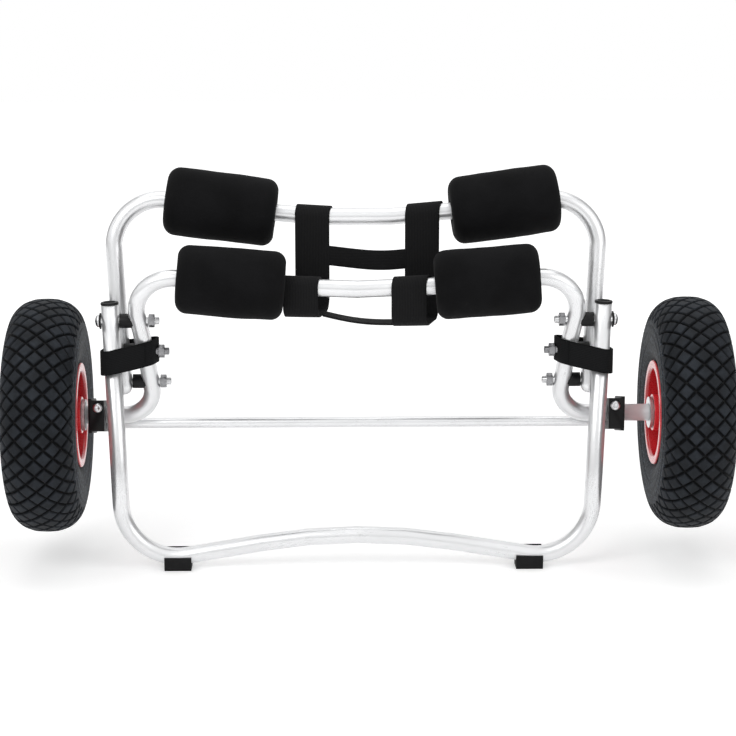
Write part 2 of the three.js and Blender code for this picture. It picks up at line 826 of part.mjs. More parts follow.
// A point of the tread: row counts blocks across it, and depth goes towards the tyre's core
function onTread([turn, row], depth) {
  const [radius, along] = skinAt(Math.abs(row) * treadBlockWidth);
  const core = (tyreRadius + tyreSeat) / 2;
  const share = depth / Math.hypot(radius - core, along);
  return onWheel(turn, [radius + (core - radius) * share, Math.sign(row) * along * (1 - share)]);
}

// The faces of one block: its top, and its slopes down to the middles of the grooves round it.
// The last corners of a block at the edge are on the edge, where it has no slope.
function blockFaces(middle, corners, slopes) {
  const tops = corners.map(([turn, row]) =>
    onTread(
      [middle[0] + (turn - middle[0]) * blockTopShare, middle[1] + (row - middle[1]) * blockTopShare],
      0,
    ),
  );
  const floors = corners.map((corner) => onTread(corner, treadGrooveDepth));
  const faces = [tops];
  for (let index = 0; index < slopes; index += 1) {
    const next = (index + 1) % corners.length;
    faces.push([floors[index], floors[next], tops[next], tops[index]]);
  }
  return faces;
}

function wholeBlock(turn, row) {
  const half = 1 / 2;
  const corners = [
    [turn - half, row],
    [turn, row - half],
    [turn + half, row],
    [turn, row + half],
  ];
  return blockFaces([turn, row], corners, corners.length);
}

// Half a block at the tread's edge, and the faces from there to the widest ring of the sidewall
function edgeBlock(turn, side) {
  const half = 1 / 2;
  const row = side * treadRows;
  const corners = [
    [turn - side * half, row],
    [turn, row - side * half],
    [turn + side * half, row],
  ];
  const faces = blockFaces([turn, row], corners, corners.length - 1);
  const [[first, , last], [firstFloor, , , ], [, lastFloor, , ]] = faces;
  const wall = tyreSkin[widestRing];
  const [firstWall, lastWall] = [corners[0], corners[2]].map(([place]) =>
    onWheel(place, [wall[0], side * wall[1]]),
  );
  faces.push([firstFloor, first, firstWall], [first, last, firstWall]);
  faces.push([last, lastWall, firstWall], [last, lastFloor, lastWall]);
  return faces;
}

// The rest of the tyre's outline, from one widest ring round the inside to the other
function carcassProfile() {
  const bead = rimHalfWidth - rimThickness - beadEase;
  const liningHeight = tyreHeight - treadThickness;
  const lining = tyreLiningShares.map(([up, out]) => [
    tyreSeat + up * liningHeight,
    out * (tyreHalfWidth - sidewallThickness),
  ]);
  const half = [
    ...tyreSkin.slice(widestRing),
    [tyreSeat + beadHeight, bead],
    [tyreSeat, bead],
    [tyreSeat, bead - beadWidth],
    [tyreSeat + beadHeight, bead - beadWidth],
    ...lining,
    [tyreSeat + liningHeight, 0],
  ];
  const other = half.slice(0, -1).map(([radius, along]) => [radius, -along]);
  return [...half, ...other.reverse()];
}

function tyreFaces() {
  const faces = [];
  const carcass = carcassProfile();
  for (let turn = 0; turn < wheelSides; turn += 1) {
    for (let row = 1 / 2 - treadRows; row < treadRows; row += 1 / 2) {
      faces.push(...wholeBlock(Number.isInteger(row) ? turn + 1 / 2 : turn, row));
    }
    faces.push(...edgeBlock(turn + 1 / 2, -1), ...edgeBlock(turn + 1 / 2, 1));
    for (let ring = 1; ring < carcass.length; ring += 1) {
      const [near, far] = [carcass[ring - 1], carcass[ring]];
      faces.push([onWheel(turn, near), onWheel(turn + 1, near), onWheel(turn + 1, far), onWheel(turn, far)]);
    }
  }
  return faces;
}

function tyre(name) {
  const positions = tyreFaces().flatMap(([first, ...others]) =>
    others.slice(1).flatMap((corner, index) => [...first, ...others[index], ...corner]),
  );
  const geometry = new THREE.BufferGeometry();
  geometry.setAttribute("position", new THREE.BufferAttribute(new Float32Array(positions), 3));
  return meshOf(`wheel_${name}_tyre`, geometryOf(solidOf(geometry)), "tyreRubber");
}

function innerTubeProfile(inset) {
  const top = tyreRadius - treadThickness - gap;
  const bottom = tyreSeat + innerTubeSeatHeight;
  const middle = (top + bottom) / 2;
  const upright = (top - bottom) / 2 - inset;
  const across = tyreHalfWidth - sidewallThickness - innerTubeEase - inset;
  const points = [];
  for (let step = 0; step <= innerTubeSides; step += 1) {
    const angle = (2 * Math.PI * step) / innerTubeSides;
    const outward = across * Math.sin(angle) * (1 - innerTubeTaperShare * (1 - Math.cos(angle)));
    points.push([middle + upright * Math.cos(angle), outward]);
  }
  points[innerTubeSides] = points[0];
  return points;
}

// An air-filled ring, open at the valve's hole towards the rim
function innerTube(name, sign) {
  const [outside, inside] = [0, innerTubeWall].map((inset) =>
    solidOf(turnedAlongX(innerTubeProfile(inset), sign, wheelSides)),
  );
  const radius = valveHoleDiameter / 2;
  const hole = new THREE.CylinderGeometry(radius, radius, 4 * innerTubeWall, holeSides);
  const opened = cut(outside, [inside, solidOf(hole.translate(0, tyreSeat + innerTubeSeatHeight, 0))]);
  return meshOf(`wheel_${name}_inner_tube`, geometryOf(opened), "softRubber");
}

function rimProfile(reach) {
  const barrel = bearingRadius + gap;
  const lipFace = rimHalfWidth - rimThickness;
  return [
    [barrel, gap / 2],
    [rimSeatRadius, gap / 2],
    [rimSeatRadius, lipFace],
    [rimFlangeRadius, lipFace],
    [rimFlangeRadius, rimHalfWidth],
    [rimSeatRadius - rimThickness, rimHalfWidth],
    [rimSeatRadius - rimThickness, rimThickness],
    [barrel + hubWall, rimThickness],
    [barrel + hubWall, reach],
    [barrel, reach],
    [barrel, gap / 2],
  ];
}

function bearingProfile(reach) {
  const bore = tubeRadius + gap;
  const inside = reach - bearingWidth;
  return [
    [bore, inside],
    [bearingRadius, inside],
    [bearingRadius, reach - bearingLip],
    [bearingRadius - bearingLip, reach],
    [bore, reach],
    [bore, inside],
  ];
}

function wheel({ name, sign }) {
  const group = new THREE.Group();
  group.position.x = sign * wheelMiddle;
  const washerFrom = hubInnerReach + gap;
  const outerFrom = hubOuterReach + gap;
  const bore = tubeRadius + gap;
  const piece = (part, profile, toward, finish, segments) =>
    group.add(meshOf(`wheel_${name}_${part}`, turnedAlongX(profile, toward, segments), finish));
  group.add(tyre(name), innerTube(name, sign));
  piece("rim_inner", rimProfile(hubInnerReach), -sign, "redPaint", wheelSides);
  piece("rim_outer", rimProfile(hubOuterReach), sign, "redPaint", wheelSides);
  piece("bearing_inner", bearingProfile(hubInnerReach), -sign, "steel");
  piece("bearing_outer", bearingProfile(hubOuterReach), sign, "steel");
  piece(
    "washer_inner",
    tubeProfile(bearingRadius, bore, washerFrom, washerFrom + innerWasherThickness),
    -sign,
    "steel",
  );
  piece(
    "washer_outer",
    tubeProfile(outerWasherRadius, bore, outerFrom, outerFrom + outerWasherThickness),
    sign,
    "steel",
  );
  const shank = pinDiameter / 2;
  const top = tubeRadius + gap;
  const pin = new THREE.LatheGeometry(
    [
      [0, -tubeRadius - pinReach],
      [shank, -tubeRadius - pinReach],
      [shank, top],
      [pinHeadRadius, top],
      [pinHeadRadius, top + pinHeadHeight],
      [0, top + pinHeadHeight],
    ].map(([radius, along]) => new THREE.Vector2(radius, along)),
    smallSides,
  ).rotateX(Math.PI / 2);
  group.add(meshOf(`wheel_${name}_pin`, pin.translate(sign * pinPlace, 0, 0), "steel"));
  return group;
}

// A foam sleeve on a bar, at a share of the way from the bar's middle to its shoulder
function pad(name, { route, barMiddle, shoulder, length }, share, sign) {
  const half = length / 2;
  const outer = padDiameter / 2;
  const profile = [new THREE.Vector2(0, -half)];
  const steps = smallSides / 4;
  for (let step = 0; step <= steps; step += 1) {
    const angle = (Math.PI / 2) * (step / steps);
    const radius = outer - padRound * (1 - Math.sin(angle));
    profile.push(new THREE.Vector2(radius, -half + padRound * (1 - Math.cos(angle))));
  }
  for (let step = steps; step >= 0; step -= 1) {
    const angle = (Math.PI / 2) * (step / steps);
    const radius = outer - padRound * (1 - Math.sin(angle));
    profile.push(new THREE.Vector2(radius, half - padRound * (1 - Math.cos(angle))));
  }
  profile.push(new THREE.Vector2(0, half));
  const along = shoulder.clone().sub(barMiddle).normalize();
  const centre = barMiddle.clone().lerp(shoulder, share);
  along.x *= sign;
  centre.x *= sign;
  const sleeve = new THREE.LatheGeometry(profile, smallSides);
  sleeve.applyQuaternion(new THREE.Quaternion().setFromUnitVectors(new THREE.Vector3(0, 1, 0), along));
  sleeve.translate(centre.x, centre.y, centre.z);
  return meshOf(name, geometryOf(solidOf(sleeve).subtract(roomForTube(route))), "foam");
}

function pads() {
  const bar = (route, corners, length) => ({
    route,
    barMiddle: corners.middle,
    shoulder: corners.shoulder,
    length,
  });
  const front = bar(frontArm, frontCorners, frontPadLength);
  const rear = bar(rearArm, rearCorners, rearPadLength);
  return [
    pad("front_pad_left", front, frontPadLeftShare, -1),
    pad("front_pad_right", front, frontPadRightShare, 1),
    pad("rear_pad_left", rear, rearPadLeftShare, -1),
    pad("rear_pad_right", rear, rearPadRightShare, 1),
  ];
}

// The middle of a bar's tube at a distance from the frame's middle
function barPointAt(route, x) {
  const bar = route.stations.map((station) => station.point).filter((point) => point.z > stopHeight);
  const next = bar.findIndex((point, index) => index > 0 && bar[index - 1].x <= x && point.x > x);
  const before = bar[next - 1];
  return before.clone().lerp(bar[next], (x - before.x) / (bar[next].x - before.x));
}

const beltWrap = tubeRadius + webbingEase + webbingThickness / 2;

// A belt wraps the rear bar, hangs down behind the front bar, comes up before it and wraps it.
// Its X changes evenly with its Y, from the rear bar to the front bar.
function beltBetween(xAtRear, xAtFront, bottom) {
  const rear = barPointAt(rearArm, xAtRear);
  const front = barPointAt(frontArm, xAtFront);
  const slant = (xAtFront - xAtRear) / (front.y - rear.y);
  return { rear, front, slant, bottom, hangsAt: rear.y - beltWrap, risesAt: front.y - beltWrap };
}

function beltMiddleAt(belt, y) {
  return belt.slant * (y - belt.rear.y) + belt.rear.x;
}

// Each belt lies beside its pads, at a distance from their middles
const besideRearPad = (share, distance) => rearCorners.shoulder.x * share - distance;
const besideFrontPad = (share, distance) => frontCorners.shoulder.x * share - distance;
const leftBelt = beltBetween(
  -besideRearPad(rearPadLeftShare, leftBeltFromRearPad),
  -besideFrontPad(frontPadLeftShare, leftBeltFromFrontPad),
  leftBeltBottom,
);
const rightBelt = beltBetween(
  besideRearPad(rearPadRightShare, rightBeltFromRearPad),
  besideFrontPad(frontPadRightShare, rightBeltFromFrontPad),
  rightBeltBottom,
);

function beltRoute({ rear, front, bottom, hangsAt, risesAt }) {
  const corner = (y, z, radius) => ({ at: new THREE.Vector3(0, y, z), radius });
  return bentRoute([
    corner(rear.y + beltWrap, rear.z - tubeRadius),
    corner(rear.y + beltWrap, rear.z + beltWrap, beltWrap),
    corner(hangsAt, rear.z + beltWrap, beltWrap),
    corner(hangsAt, bottom, harnessBendRadius),
    corner(risesAt, bottom, harnessBendRadius),
    corner(risesAt, front.z + beltWrap, beltWrap),
    corner(front.y + beltWrap, front.z + beltWrap, beltWrap),
    corner(front.y + beltWrap, front.z - tubeRadius),
  ]);
}

function beltMesh(name, belt) {
  const [thick, wide] = [webbingThickness / 2, webbingWidth / 2];
  const section = new THREE.Shape([
    new THREE.Vector2(-thick, -wide),
    new THREE.Vector2(thick, -wide),
    new THREE.Vector2(thick, wide),
    new THREE.Vector2(-thick, wide),
  ]);
  const strip = sweep(section, beltRoute(belt));
  const shift = beltMiddleAt(belt, 0);
  strip.applyMatrix4(new THREE.Matrix4().set(1, belt.slant, 0, shift, 0, 1, 0, 0, 0, 0, 1, 0, 0, 0, 0, 1));
  return meshOf(name, strip, "webbing");
}

// A thin ribbon seen edge-on: line gives its height over its length
function ribbonOutline(from, to, line) {
  const under = [];
  const over = [];
  for (let step = 0; step <= smallSides; step += 1) {
    const share = step / smallSides;
    const x = from + (to - from) * share;
    under.push(new THREE.Vector2(x, line(share) - webbingThickness / 2));
    over.unshift(new THREE.Vector2(x, line(share) + webbingThickness / 2));
  }
  return new THREE.Shape([...under, ...over]);
}

// The two cross bands lie between the inner edges of the belts
function innerEdges(y) {
  const edge = webbingWidth / 2 + gap;
  return [beltMiddleAt(leftBelt, y) + edge, beltMiddleAt(rightBelt, y) - edge];
}

function rearBand() {
  const [left, right] = [leftBelt.hangsAt, rightBelt.hangsAt];
  const [from, to] = innerEdges(left);
  const outline = ribbonOutline(from, to, (share) => {
    return left + (right - left) * share + rearBandWave * Math.sin(2 * Math.PI * share);
  });
  const band = new THREE.ExtrudeGeometry(outline, { depth: rearBandWidth, bevelEnabled: false });
  const fall = (rearBandRightHeight - rearBandLeftHeight) / (to - from);
  const rise = rearBandLeftHeight - rearBandWidth / 2 - fall * from;
  band.applyMatrix4(new THREE.Matrix4().set(1, 0, 0, 0, 0, 1, 0, 0, fall, 0, 1, rise, 0, 0, 0, 1));
  return meshOf("harness_rear_band", band, "webbing");
}

function frontBand() {
  const middle = (leftBelt.hangsAt + leftBelt.risesAt) / 2;
  const slant = (leftBelt.slant + rightBelt.slant) / 2;
  const ease = (Math.abs(rightBelt.slant - slant) * frontBandWidth) / 2;
  const [from, to] = innerEdges(middle);
  const outline = ribbonOutline(from + ease, to - ease, (share) => {
    const straight = leftBeltBottom + (rightBeltBottom - leftBeltBottom) * share;
    return straight - frontBandSag * Math.sin(Math.PI * share);
  });
  const band = new THREE.ExtrudeGeometry(outline, { depth: frontBandWidth, bevelEnabled: false });
  band.translate(0, 0, -frontBandWidth / 2).rotateX(Math.PI / 2);
  band.applyMatrix4(new THREE.Matrix4().set(1, slant, 0, 0, 0, 1, 0, middle, 0, 0, 1, 0, 0, 0, 0, 1));
  return meshOf("harness_front_band", band, "webbing");
}

function convexHull(points) {
  const sorted = [...points].sort((a, b) => a.x - b.x || a.y - b.y);
  const turn = (a, b, c) => (b.x - a.x) * (c.y - a.y) - (b.y - a.y) * (c.x - a.x);
  const chain = (list) => {
    const kept = [];
    for (const point of list) {
      while (kept.length > 1 && turn(kept.at(-2), kept.at(-1), point) <= 0) kept.pop();
      kept.push(point);
    }
    return kept.slice(0, -1);
  };
  return [...chain(sorted), ...chain([...sorted].reverse())];
}

// The places of the three folded legs at a height, as seen from above
function legsAt(height, sign) {
  const legs = [
    [kickstandCorners.foot, kickstandCorners.top],
    [rearCorners.pivot, rearCorners.shoulder],
    [frontCorners.stub, frontCorners.knee],
  ];
  return legs.map(([lower, upper]) => {
    const place = lower.clone().lerp(upper, (height - lower.z) / (upper.z - lower.z));
    return new THREE.Vector2(sign * place.x, place.y);
  });
}

// A band round the three folded legs, higher at its inner side, held by the stop bolt
function legStrap({ name, sign }) {
  const centres = [strapLow, strapHigh].flatMap((height) => legsAt(height, sign));
  const loop = (radius) => {
    const points = centres.flatMap((centre) =>
      disc(radius)
        .getPoints(smallSides / 2)
        .map((point) => point.add(centre)),
    );
    return convexHull(points);
  };
  const outline = new THREE.Shape(loop(tubeRadius + strapEase + strapThickness));
  outline.holes.push(new THREE.Path(loop(tubeRadius + strapEase)));
  const band = new THREE.ExtrudeGeometry(outline, { depth: strapHeight, bevelEnabled: false });
  const slope = -sign * strapSlopeShare;
  const rise = strapMiddleHeight - strapHeight / 2 - slope * sign * strapMiddle;
  band.applyMatrix4(new THREE.Matrix4().set(1, 0, 0, 0, 0, 1, 0, 0, slope, 0, 1, rise, 0, 0, 0, 1));
  const hole = crossBar(stopLine, sign, boltHole / 2, boltPlaces.stop.inner - tubeDiameter, boltPlaces.stop.inner);
  return meshOf(`leg_strap_${name}`, geometryOf(solidOf(band).subtract(hole)), "webbing");
}

function cartFrame() {
  const frame = new THREE.Group();
  frame.position.x = -frameShift;
  frame.add(kickstandTube(), frontArmTube(), rearArmTube(), crossRod());
  for (const side of sides) {
    frame.add(kickstandCap(side), foot(side), axleClamp(side), clampScrew(side));
    frame.add(...pivotHardware(side), ...stopHardware(side), ...kickstandHardware(side));
  }
  frame.add(...pads(), ...sides.map(legStrap));
  frame.add(beltMesh("harness_belt_left", leftBelt), beltMesh("harness_belt_right", rightBelt));
  frame.add(rearBand(), frontBand());
  return frame;
}

const cart = new THREE.Group();
cart.position.z = axleHeight;
cart.add(cartFrame(), ...sides.map(wheel));

const root = new THREE.Group();
root.add(cart);

export default root;
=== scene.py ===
"""Dresses a folding kayak cart, folded and upright, for a plain studio.

Metres, +Z up, +X to the right, -Y towards the viewer, and the floor is at Z 0.
"""

import logging
import math
from dataclasses import dataclass, field
from enum import Enum

import bpy
import numpy as np
from mathutils import Matrix, Vector, noise


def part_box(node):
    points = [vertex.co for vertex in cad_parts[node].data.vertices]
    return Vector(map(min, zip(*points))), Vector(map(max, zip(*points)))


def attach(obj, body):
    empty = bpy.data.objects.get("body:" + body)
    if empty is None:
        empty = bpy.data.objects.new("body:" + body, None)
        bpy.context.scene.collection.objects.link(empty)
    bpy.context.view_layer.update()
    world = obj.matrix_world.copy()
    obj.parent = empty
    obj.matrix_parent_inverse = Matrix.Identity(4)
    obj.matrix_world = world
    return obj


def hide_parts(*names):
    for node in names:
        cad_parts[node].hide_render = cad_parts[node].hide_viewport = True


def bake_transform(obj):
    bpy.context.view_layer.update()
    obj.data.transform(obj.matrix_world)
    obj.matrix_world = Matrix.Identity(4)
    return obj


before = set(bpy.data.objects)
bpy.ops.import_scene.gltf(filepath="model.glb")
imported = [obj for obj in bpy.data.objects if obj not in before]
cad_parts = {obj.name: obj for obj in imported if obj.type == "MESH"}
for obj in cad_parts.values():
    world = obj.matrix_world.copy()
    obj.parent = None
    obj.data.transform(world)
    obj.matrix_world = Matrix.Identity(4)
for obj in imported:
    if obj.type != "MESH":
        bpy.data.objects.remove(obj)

logging.basicConfig(level=logging.INFO, format="%(message)s")
log = logging.getLogger("kayak_cart")

MM = 0.001
UP = Vector((0, 0, 1))
RIGHT = Vector((1, 0, 0))
BACK = Vector((0, 1, 0))

Piece = bpy.types.Object
Colour = tuple[float, float, float]
Profile = list[tuple[float, float]]
Table = tuple[tuple[float, float], ...]


def millimetres(table: Table) -> Profile:
    """A table of places in millimetres, as an outline in metres."""
    return [(first * MM, second * MM) for first, second in table]


def quarter(radius: float, along: float, bend: float, steps: int) -> Profile:
    """The points inside a rounded corner of an outline, from its end face to its wall.

    Args:
        radius: The wall's radius.
        along: Where the end face is.
        bend: The corner's radius.
        steps: How many parts the corner has.

    Returns:
        The points, without the first and the last.
    """
    turns = [math.pi / 2 * step / steps for step in range(1, steps)]
    return [(radius - bend * (1 - math.sin(turn)), along - bend * (1 - math.cos(turn))) for turn in turns]


class Side(Enum):
    """The two sides of the cart; the value is the sign of X."""

    LEFT = -1
    RIGHT = 1

    @property
    def word(self) -> str:
        """The side's name, as the nodes use it."""
        return self.name.lower()


@dataclass(frozen=True)
class Layout:
    """The lines that every sub-assembly shares, in metres."""

    axle_height: float = 168.4 * MM
    frame_middle: float = -12.6 * MM
    wheel_middle: float = 357.34 * MM
    tube_radius: float = 9.5 * MM
    tube_wall: float = 2 * MM
    kickstand_forward: float = 36 * MM
    kickstand_bolt_height: float = 113 * MM
    pivot_height: float = 41 * MM
    stop_height: float = 77 * MM
    rear_lean: float = math.radians(9)

    def place(self, x: float, y: float, z: float) -> Vector:
        """A point given from the middle of the frame's axle, in the part's frame."""
        return Vector((x + self.frame_middle, y, z + self.axle_height))

    def bolt_line(self, height: float) -> float:
        """The Y of a bolt's line at a height over the axle."""
        return -self.kickstand_forward * height / self.kickstand_bolt_height

    def on_kickstand(self, x: float, z: float) -> Vector:
        """A point in the kickstand's plane."""
        return self.place(x, -self.kickstand_forward, z)

    def on_front_arm(self, x: float, z: float) -> Vector:
        """A point in the front arm's leaning plane."""
        return self.place(x, self.bolt_line(z), z)

    def on_rear_arm(self, x: float, z: float) -> Vector:
        """A point in the rear arm's leaning plane."""
        y = self.bolt_line(self.pivot_height) + (z - self.pivot_height) * math.tan(self.rear_lean)
        return self.place(x, y, z)


LAYOUT = Layout()


@dataclass(frozen=True)
class Corner:
    """A corner of a route, and the radius of the bend that rounds it."""

    at: Vector
    radius: float = 0.0

    def across(self) -> "Corner":
        """The same corner on the frame's other side."""
        return Corner(Vector((2 * LAYOUT.frame_middle - self.at.x, self.at.y, self.at.z)), self.radius)


@dataclass(frozen=True)
class Run:
    """A straight length of a route."""

    start: Vector
    end: Vector


@dataclass(frozen=True)
class Bend:
    """A round bend of a route."""

    centre: Vector
    axis: Vector
    angle: float
    start: Vector
    end: Vector


class Route:
    """A line of straight runs and round bends through a list of corners."""

    def __init__(self, corners: list[Corner]) -> None:
        """Lays the runs and bends.

        Args:
            corners: The corners in order; the first and last are the two ends.
        """
        self.legs: list[Run | Bend] = []
        at = corners[0].at
        for before, corner, after in zip(corners, corners[1:], corners[2:]):
            bend = self._bend(before.at, corner, after.at)
            self.legs += [Run(at, bend.start), bend]
            at = bend.end
        self.legs.append(Run(at, corners[-1].at))

    @staticmethod
    def _bend(before: Vector, corner: Corner, after: Vector) -> Bend:
        """The bend that rounds one corner.

        Args:
            before: The corner before it.
            corner: The corner to round.
            after: The corner after it.

        Returns:
            The bend, which turns by the right-hand rule about its axis.
        """
        coming = (corner.at - before).normalized()
        going = (after - corner.at).normalized()
        angle = coming.angle(going)
        setback = corner.radius * math.tan(angle / 2)
        start = corner.at - coming * setback
        inward = (going - coming * coming.dot(going)).normalized()
        axis = coming.cross(going).normalized()
        return Bend(start + inward * corner.radius, axis, angle, start, corner.at + going * setback)

    def stations(self, step: float = math.radians(6)) -> list[Vector]:
        """The points of the route, with one at each step of a bend.

        Args:
            step: The largest turn between two points of a bend.

        Returns:
            The points in order, without repeats.
        """
        points = [self.legs[0].start]
        for leg in self.legs:
            if isinstance(leg, Bend):
                count = max(2, math.ceil(leg.angle / step))
                for index in range(1, count):
                    turn = Matrix.Rotation(leg.angle * index / count, 3, leg.axis)
                    points.append(leg.centre + turn @ (leg.start - leg.centre))
            if (leg.end - points[-1]).length > 0.1 * MM:
                points.append(leg.end)
        return points

    @property
    def heading(self) -> Vector:
        """The direction in which the route starts."""
        return (self.legs[0].end - self.legs[0].start).normalized()

    @property
    def length(self) -> float:
        """The length of the route."""
        points = self.stations()
        return sum((b - a).length for a, b in zip(points, points[1:]))


class Bench:
    """Modelling by operator in edit mode, one piece at a time."""

    @staticmethod
    def clear() -> None:
        """Leaves edit mode and deselects everything."""
        if bpy.context.object and bpy.context.object.mode != "OBJECT":
            bpy.ops.object.mode_set(mode="OBJECT")
        bpy.ops.object.select_all(action="DESELECT")

    @classmethod
    def take(cls, piece: Piece) -> None:
        """Makes a piece the only selected one.

        Args:
            piece: The piece to work on.
        """
        cls.clear()
        piece.select_set(True)
        bpy.context.view_layer.objects.active = piece

    @classmethod
    def open(cls, name: str) -> Piece:
        """Names the primitive that was just added and opens it in edit mode, selected all over.

        Args:
            name: The piece's name.

        Returns:
            The piece, with its place in its mesh.
        """
        piece = bpy.context.object
        piece.name = name
        piece.data.name = name
        bpy.ops.object.transform_apply(location=True, rotation=True, scale=True)
        bpy.ops.object.mode_set(mode="EDIT")
        bpy.ops.mesh.select_all(action="SELECT")
        return piece

    @classmethod
    def point(cls, name: str, at: Vector) -> Piece:
        """Starts a piece from a single vertex.

        Args:
            name: The piece's name.
            at: The place of the vertex.

        Returns:
            The piece, open in edit mode.
        """
        cls.clear()
        bpy.ops.mesh.primitive_plane_add(size=2 * MM, location=at)
        piece = cls.open(name)
        bpy.ops.mesh.merge(type="CENTER")
        return piece

    @classmethod
    def circle(cls, name: str, at: Vector, facing: Vector, radius: float, sides: int) -> Piece:
        """Starts a piece from a ring.

        Args:
            name: The piece's name.
            at: The ring's middle.
            facing: The direction that the ring faces.
            radius: The ring's radius.
            sides: The number of its edges.

        Returns:
            The piece, open in edit mode.
        """
        cls.clear()
        turn = facing.to_track_quat("Z", "Y").to_euler()
        bpy.ops.mesh.primitive_circle_add(
            vertices=sides, radius=radius, fill_type="NOTHING", location=at, rotation=turn
        )
        return cls.open(name)

    @staticmethod
    def pick(piece: Piece, chosen: np.ndarray) -> None:
        """Opens a piece in edit mode with some of its vertices selected.

        Args:
            piece: The piece, in object mode.
            chosen: Which vertices are selected.
        """
        piece.data.vertices.foreach_set("select", chosen)
        for rest in (piece.data.edges, piece.data.polygons):
            rest.foreach_set("select", np.zeros(len(rest), bool))
        bpy.ops.object.mode_set(mode="EDIT")
        bpy.ops.mesh.select_mode(type="VERT")

    @staticmethod
    def push(by: Vector) -> None:
        """Extrudes what is selected.

        Args:
            by: How far it goes.
        """
        bpy.ops.mesh.extrude_region_move(TRANSFORM_OT_translate={"value": tuple(by)})

    @staticmethod
    def spin(about: Vector, axis: Vector, angle: float, steps: int) -> None:
        """Spins what is selected.

        Args:
            about: A point on the axis.
            axis: The direction of the axis.
            angle: The turn, by the right-hand rule.
            steps: The number of steps.
        """
        bpy.ops.mesh.spin(steps=steps, angle=-angle, center=tuple(about), axis=tuple(axis))

    @classmethod
    def follow(cls, route: Route, step: float = math.radians(6)) -> None:
        """Carries what is selected along a route by extruding and spinning.

        Args:
            route: The route, which starts at the selection.
            step: The largest turn of one step of a bend.
        """
        for leg in route.legs:
            if isinstance(leg, Bend):
                cls.spin(leg.centre, leg.axis, leg.angle, max(2, math.ceil(leg.angle / step)))
            elif (leg.end - leg.start).length > 0.1 * MM:
                cls.push(leg.end - leg.start)

    @classmethod
    def close(cls, piece: Piece, smooth: float = math.radians(35)) -> Piece:
        """Merges doubles, turns the faces outwards and leaves edit mode.

        Args:
            piece: The piece that is open.
            smooth: Edges blunter than this are shaded smooth.

        Returns:
            The piece.
        """
        bpy.ops.mesh.select_all(action="SELECT")
        bpy.ops.mesh.remove_doubles(threshold=0.004 * MM)
        bpy.ops.mesh.normals_make_consistent(inside=False)
        bpy.ops.object.mode_set(mode="OBJECT")
        bpy.ops.object.shade_smooth_by_angle(angle=smooth)
        return piece

    @classmethod
    def finish(cls, piece: Piece, kind: str, **settings: object) -> Piece:
        """Adds a modifier and applies it.

        Args:
            piece: The piece.
            kind: The modifier's type.
            settings: The modifier's settings.

        Returns:
            The piece.
        """
        cls.take(piece)
        modifier = piece.modifiers.new(kind.title(), kind)
        for key, value in settings.items():
            setattr(modifier, key, value)
        bpy.ops.object.modifier_apply(modifier=modifier.name)
        return piece

    @classmethod
    def tube(cls, name: str, route: Route, radius: float, sides: int = 40) -> Piece:
        """A round skin along a route, open at both ends.

        Args:
            name: The piece's name.
            route: The middle line.
            radius: The tube's radius.
            sides: The number of its sides.

        Returns:
            The piece, with the attribute run.
        """
        piece = cls.circle(name, route.legs[0].start, route.heading, radius, sides)
        cls.follow(route)
        cls.close(piece)
        Marks.along_route(piece, route)
        return piece

    @classmethod
    def turn(
        cls,
        name: str,
        profile: Profile,
        middle: Vector,
        axis: Vector,
        steps: int = 48,
        smooth: float = math.radians(35),
    ) -> Piece:
        """A turned piece.

        Args:
            name: The piece's name.
            profile: Its outline, as radius and distance along the axis.
            middle: The point on the axis where the distance is 0.
            axis: The direction of the axis.
            steps: The number of its sides.
            smooth: Edges blunter than this are shaded smooth.

        Returns:
            The piece.
        """
        axis = axis.normalized()
        outward = axis.orthogonal().normalized()
        points = [middle + axis * along + outward * radius for radius, along in profile]
        piece = cls.point(name, points[0])
        for before, after in zip(points, points[1:]):
            cls.push(after - before)
        bpy.ops.mesh.select_all(action="SELECT")
        cls.spin(middle, axis, 2 * math.pi, steps)
        return cls.close(piece, smooth)

    @classmethod
    def softened(cls, node: str, width: float) -> Piece:
        """A copy of a CAD node with its edges rounded, which stands for the node.

        Args:
            node: The CAD node.
            width: The rounding's width.

        Returns:
            The piece.
        """
        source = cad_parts[node]
        piece = bpy.data.objects.new(f"{node}_finished", source.data.copy())
        bpy.context.scene.collection.objects.link(piece)
        piece.data.materials.clear()
        cls.take(piece)
        bpy.ops.object.mode_set(mode="EDIT")
        bpy.ops.mesh.select_all(action="SELECT")
        bpy.ops.mesh.remove_doubles(threshold=0.004 * MM)
        bpy.ops.mesh.dissolve_limited(angle_limit=math.radians(1))
        bpy.ops.object.mode_set(mode="OBJECT")
        cls.finish(
            piece, "BEVEL", width=width, segments=2, limit_method="ANGLE", angle_limit=math.radians(40)
        )
        bpy.ops.object.shade_smooth_by_angle(angle=math.radians(38))
        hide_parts(node)
        return piece


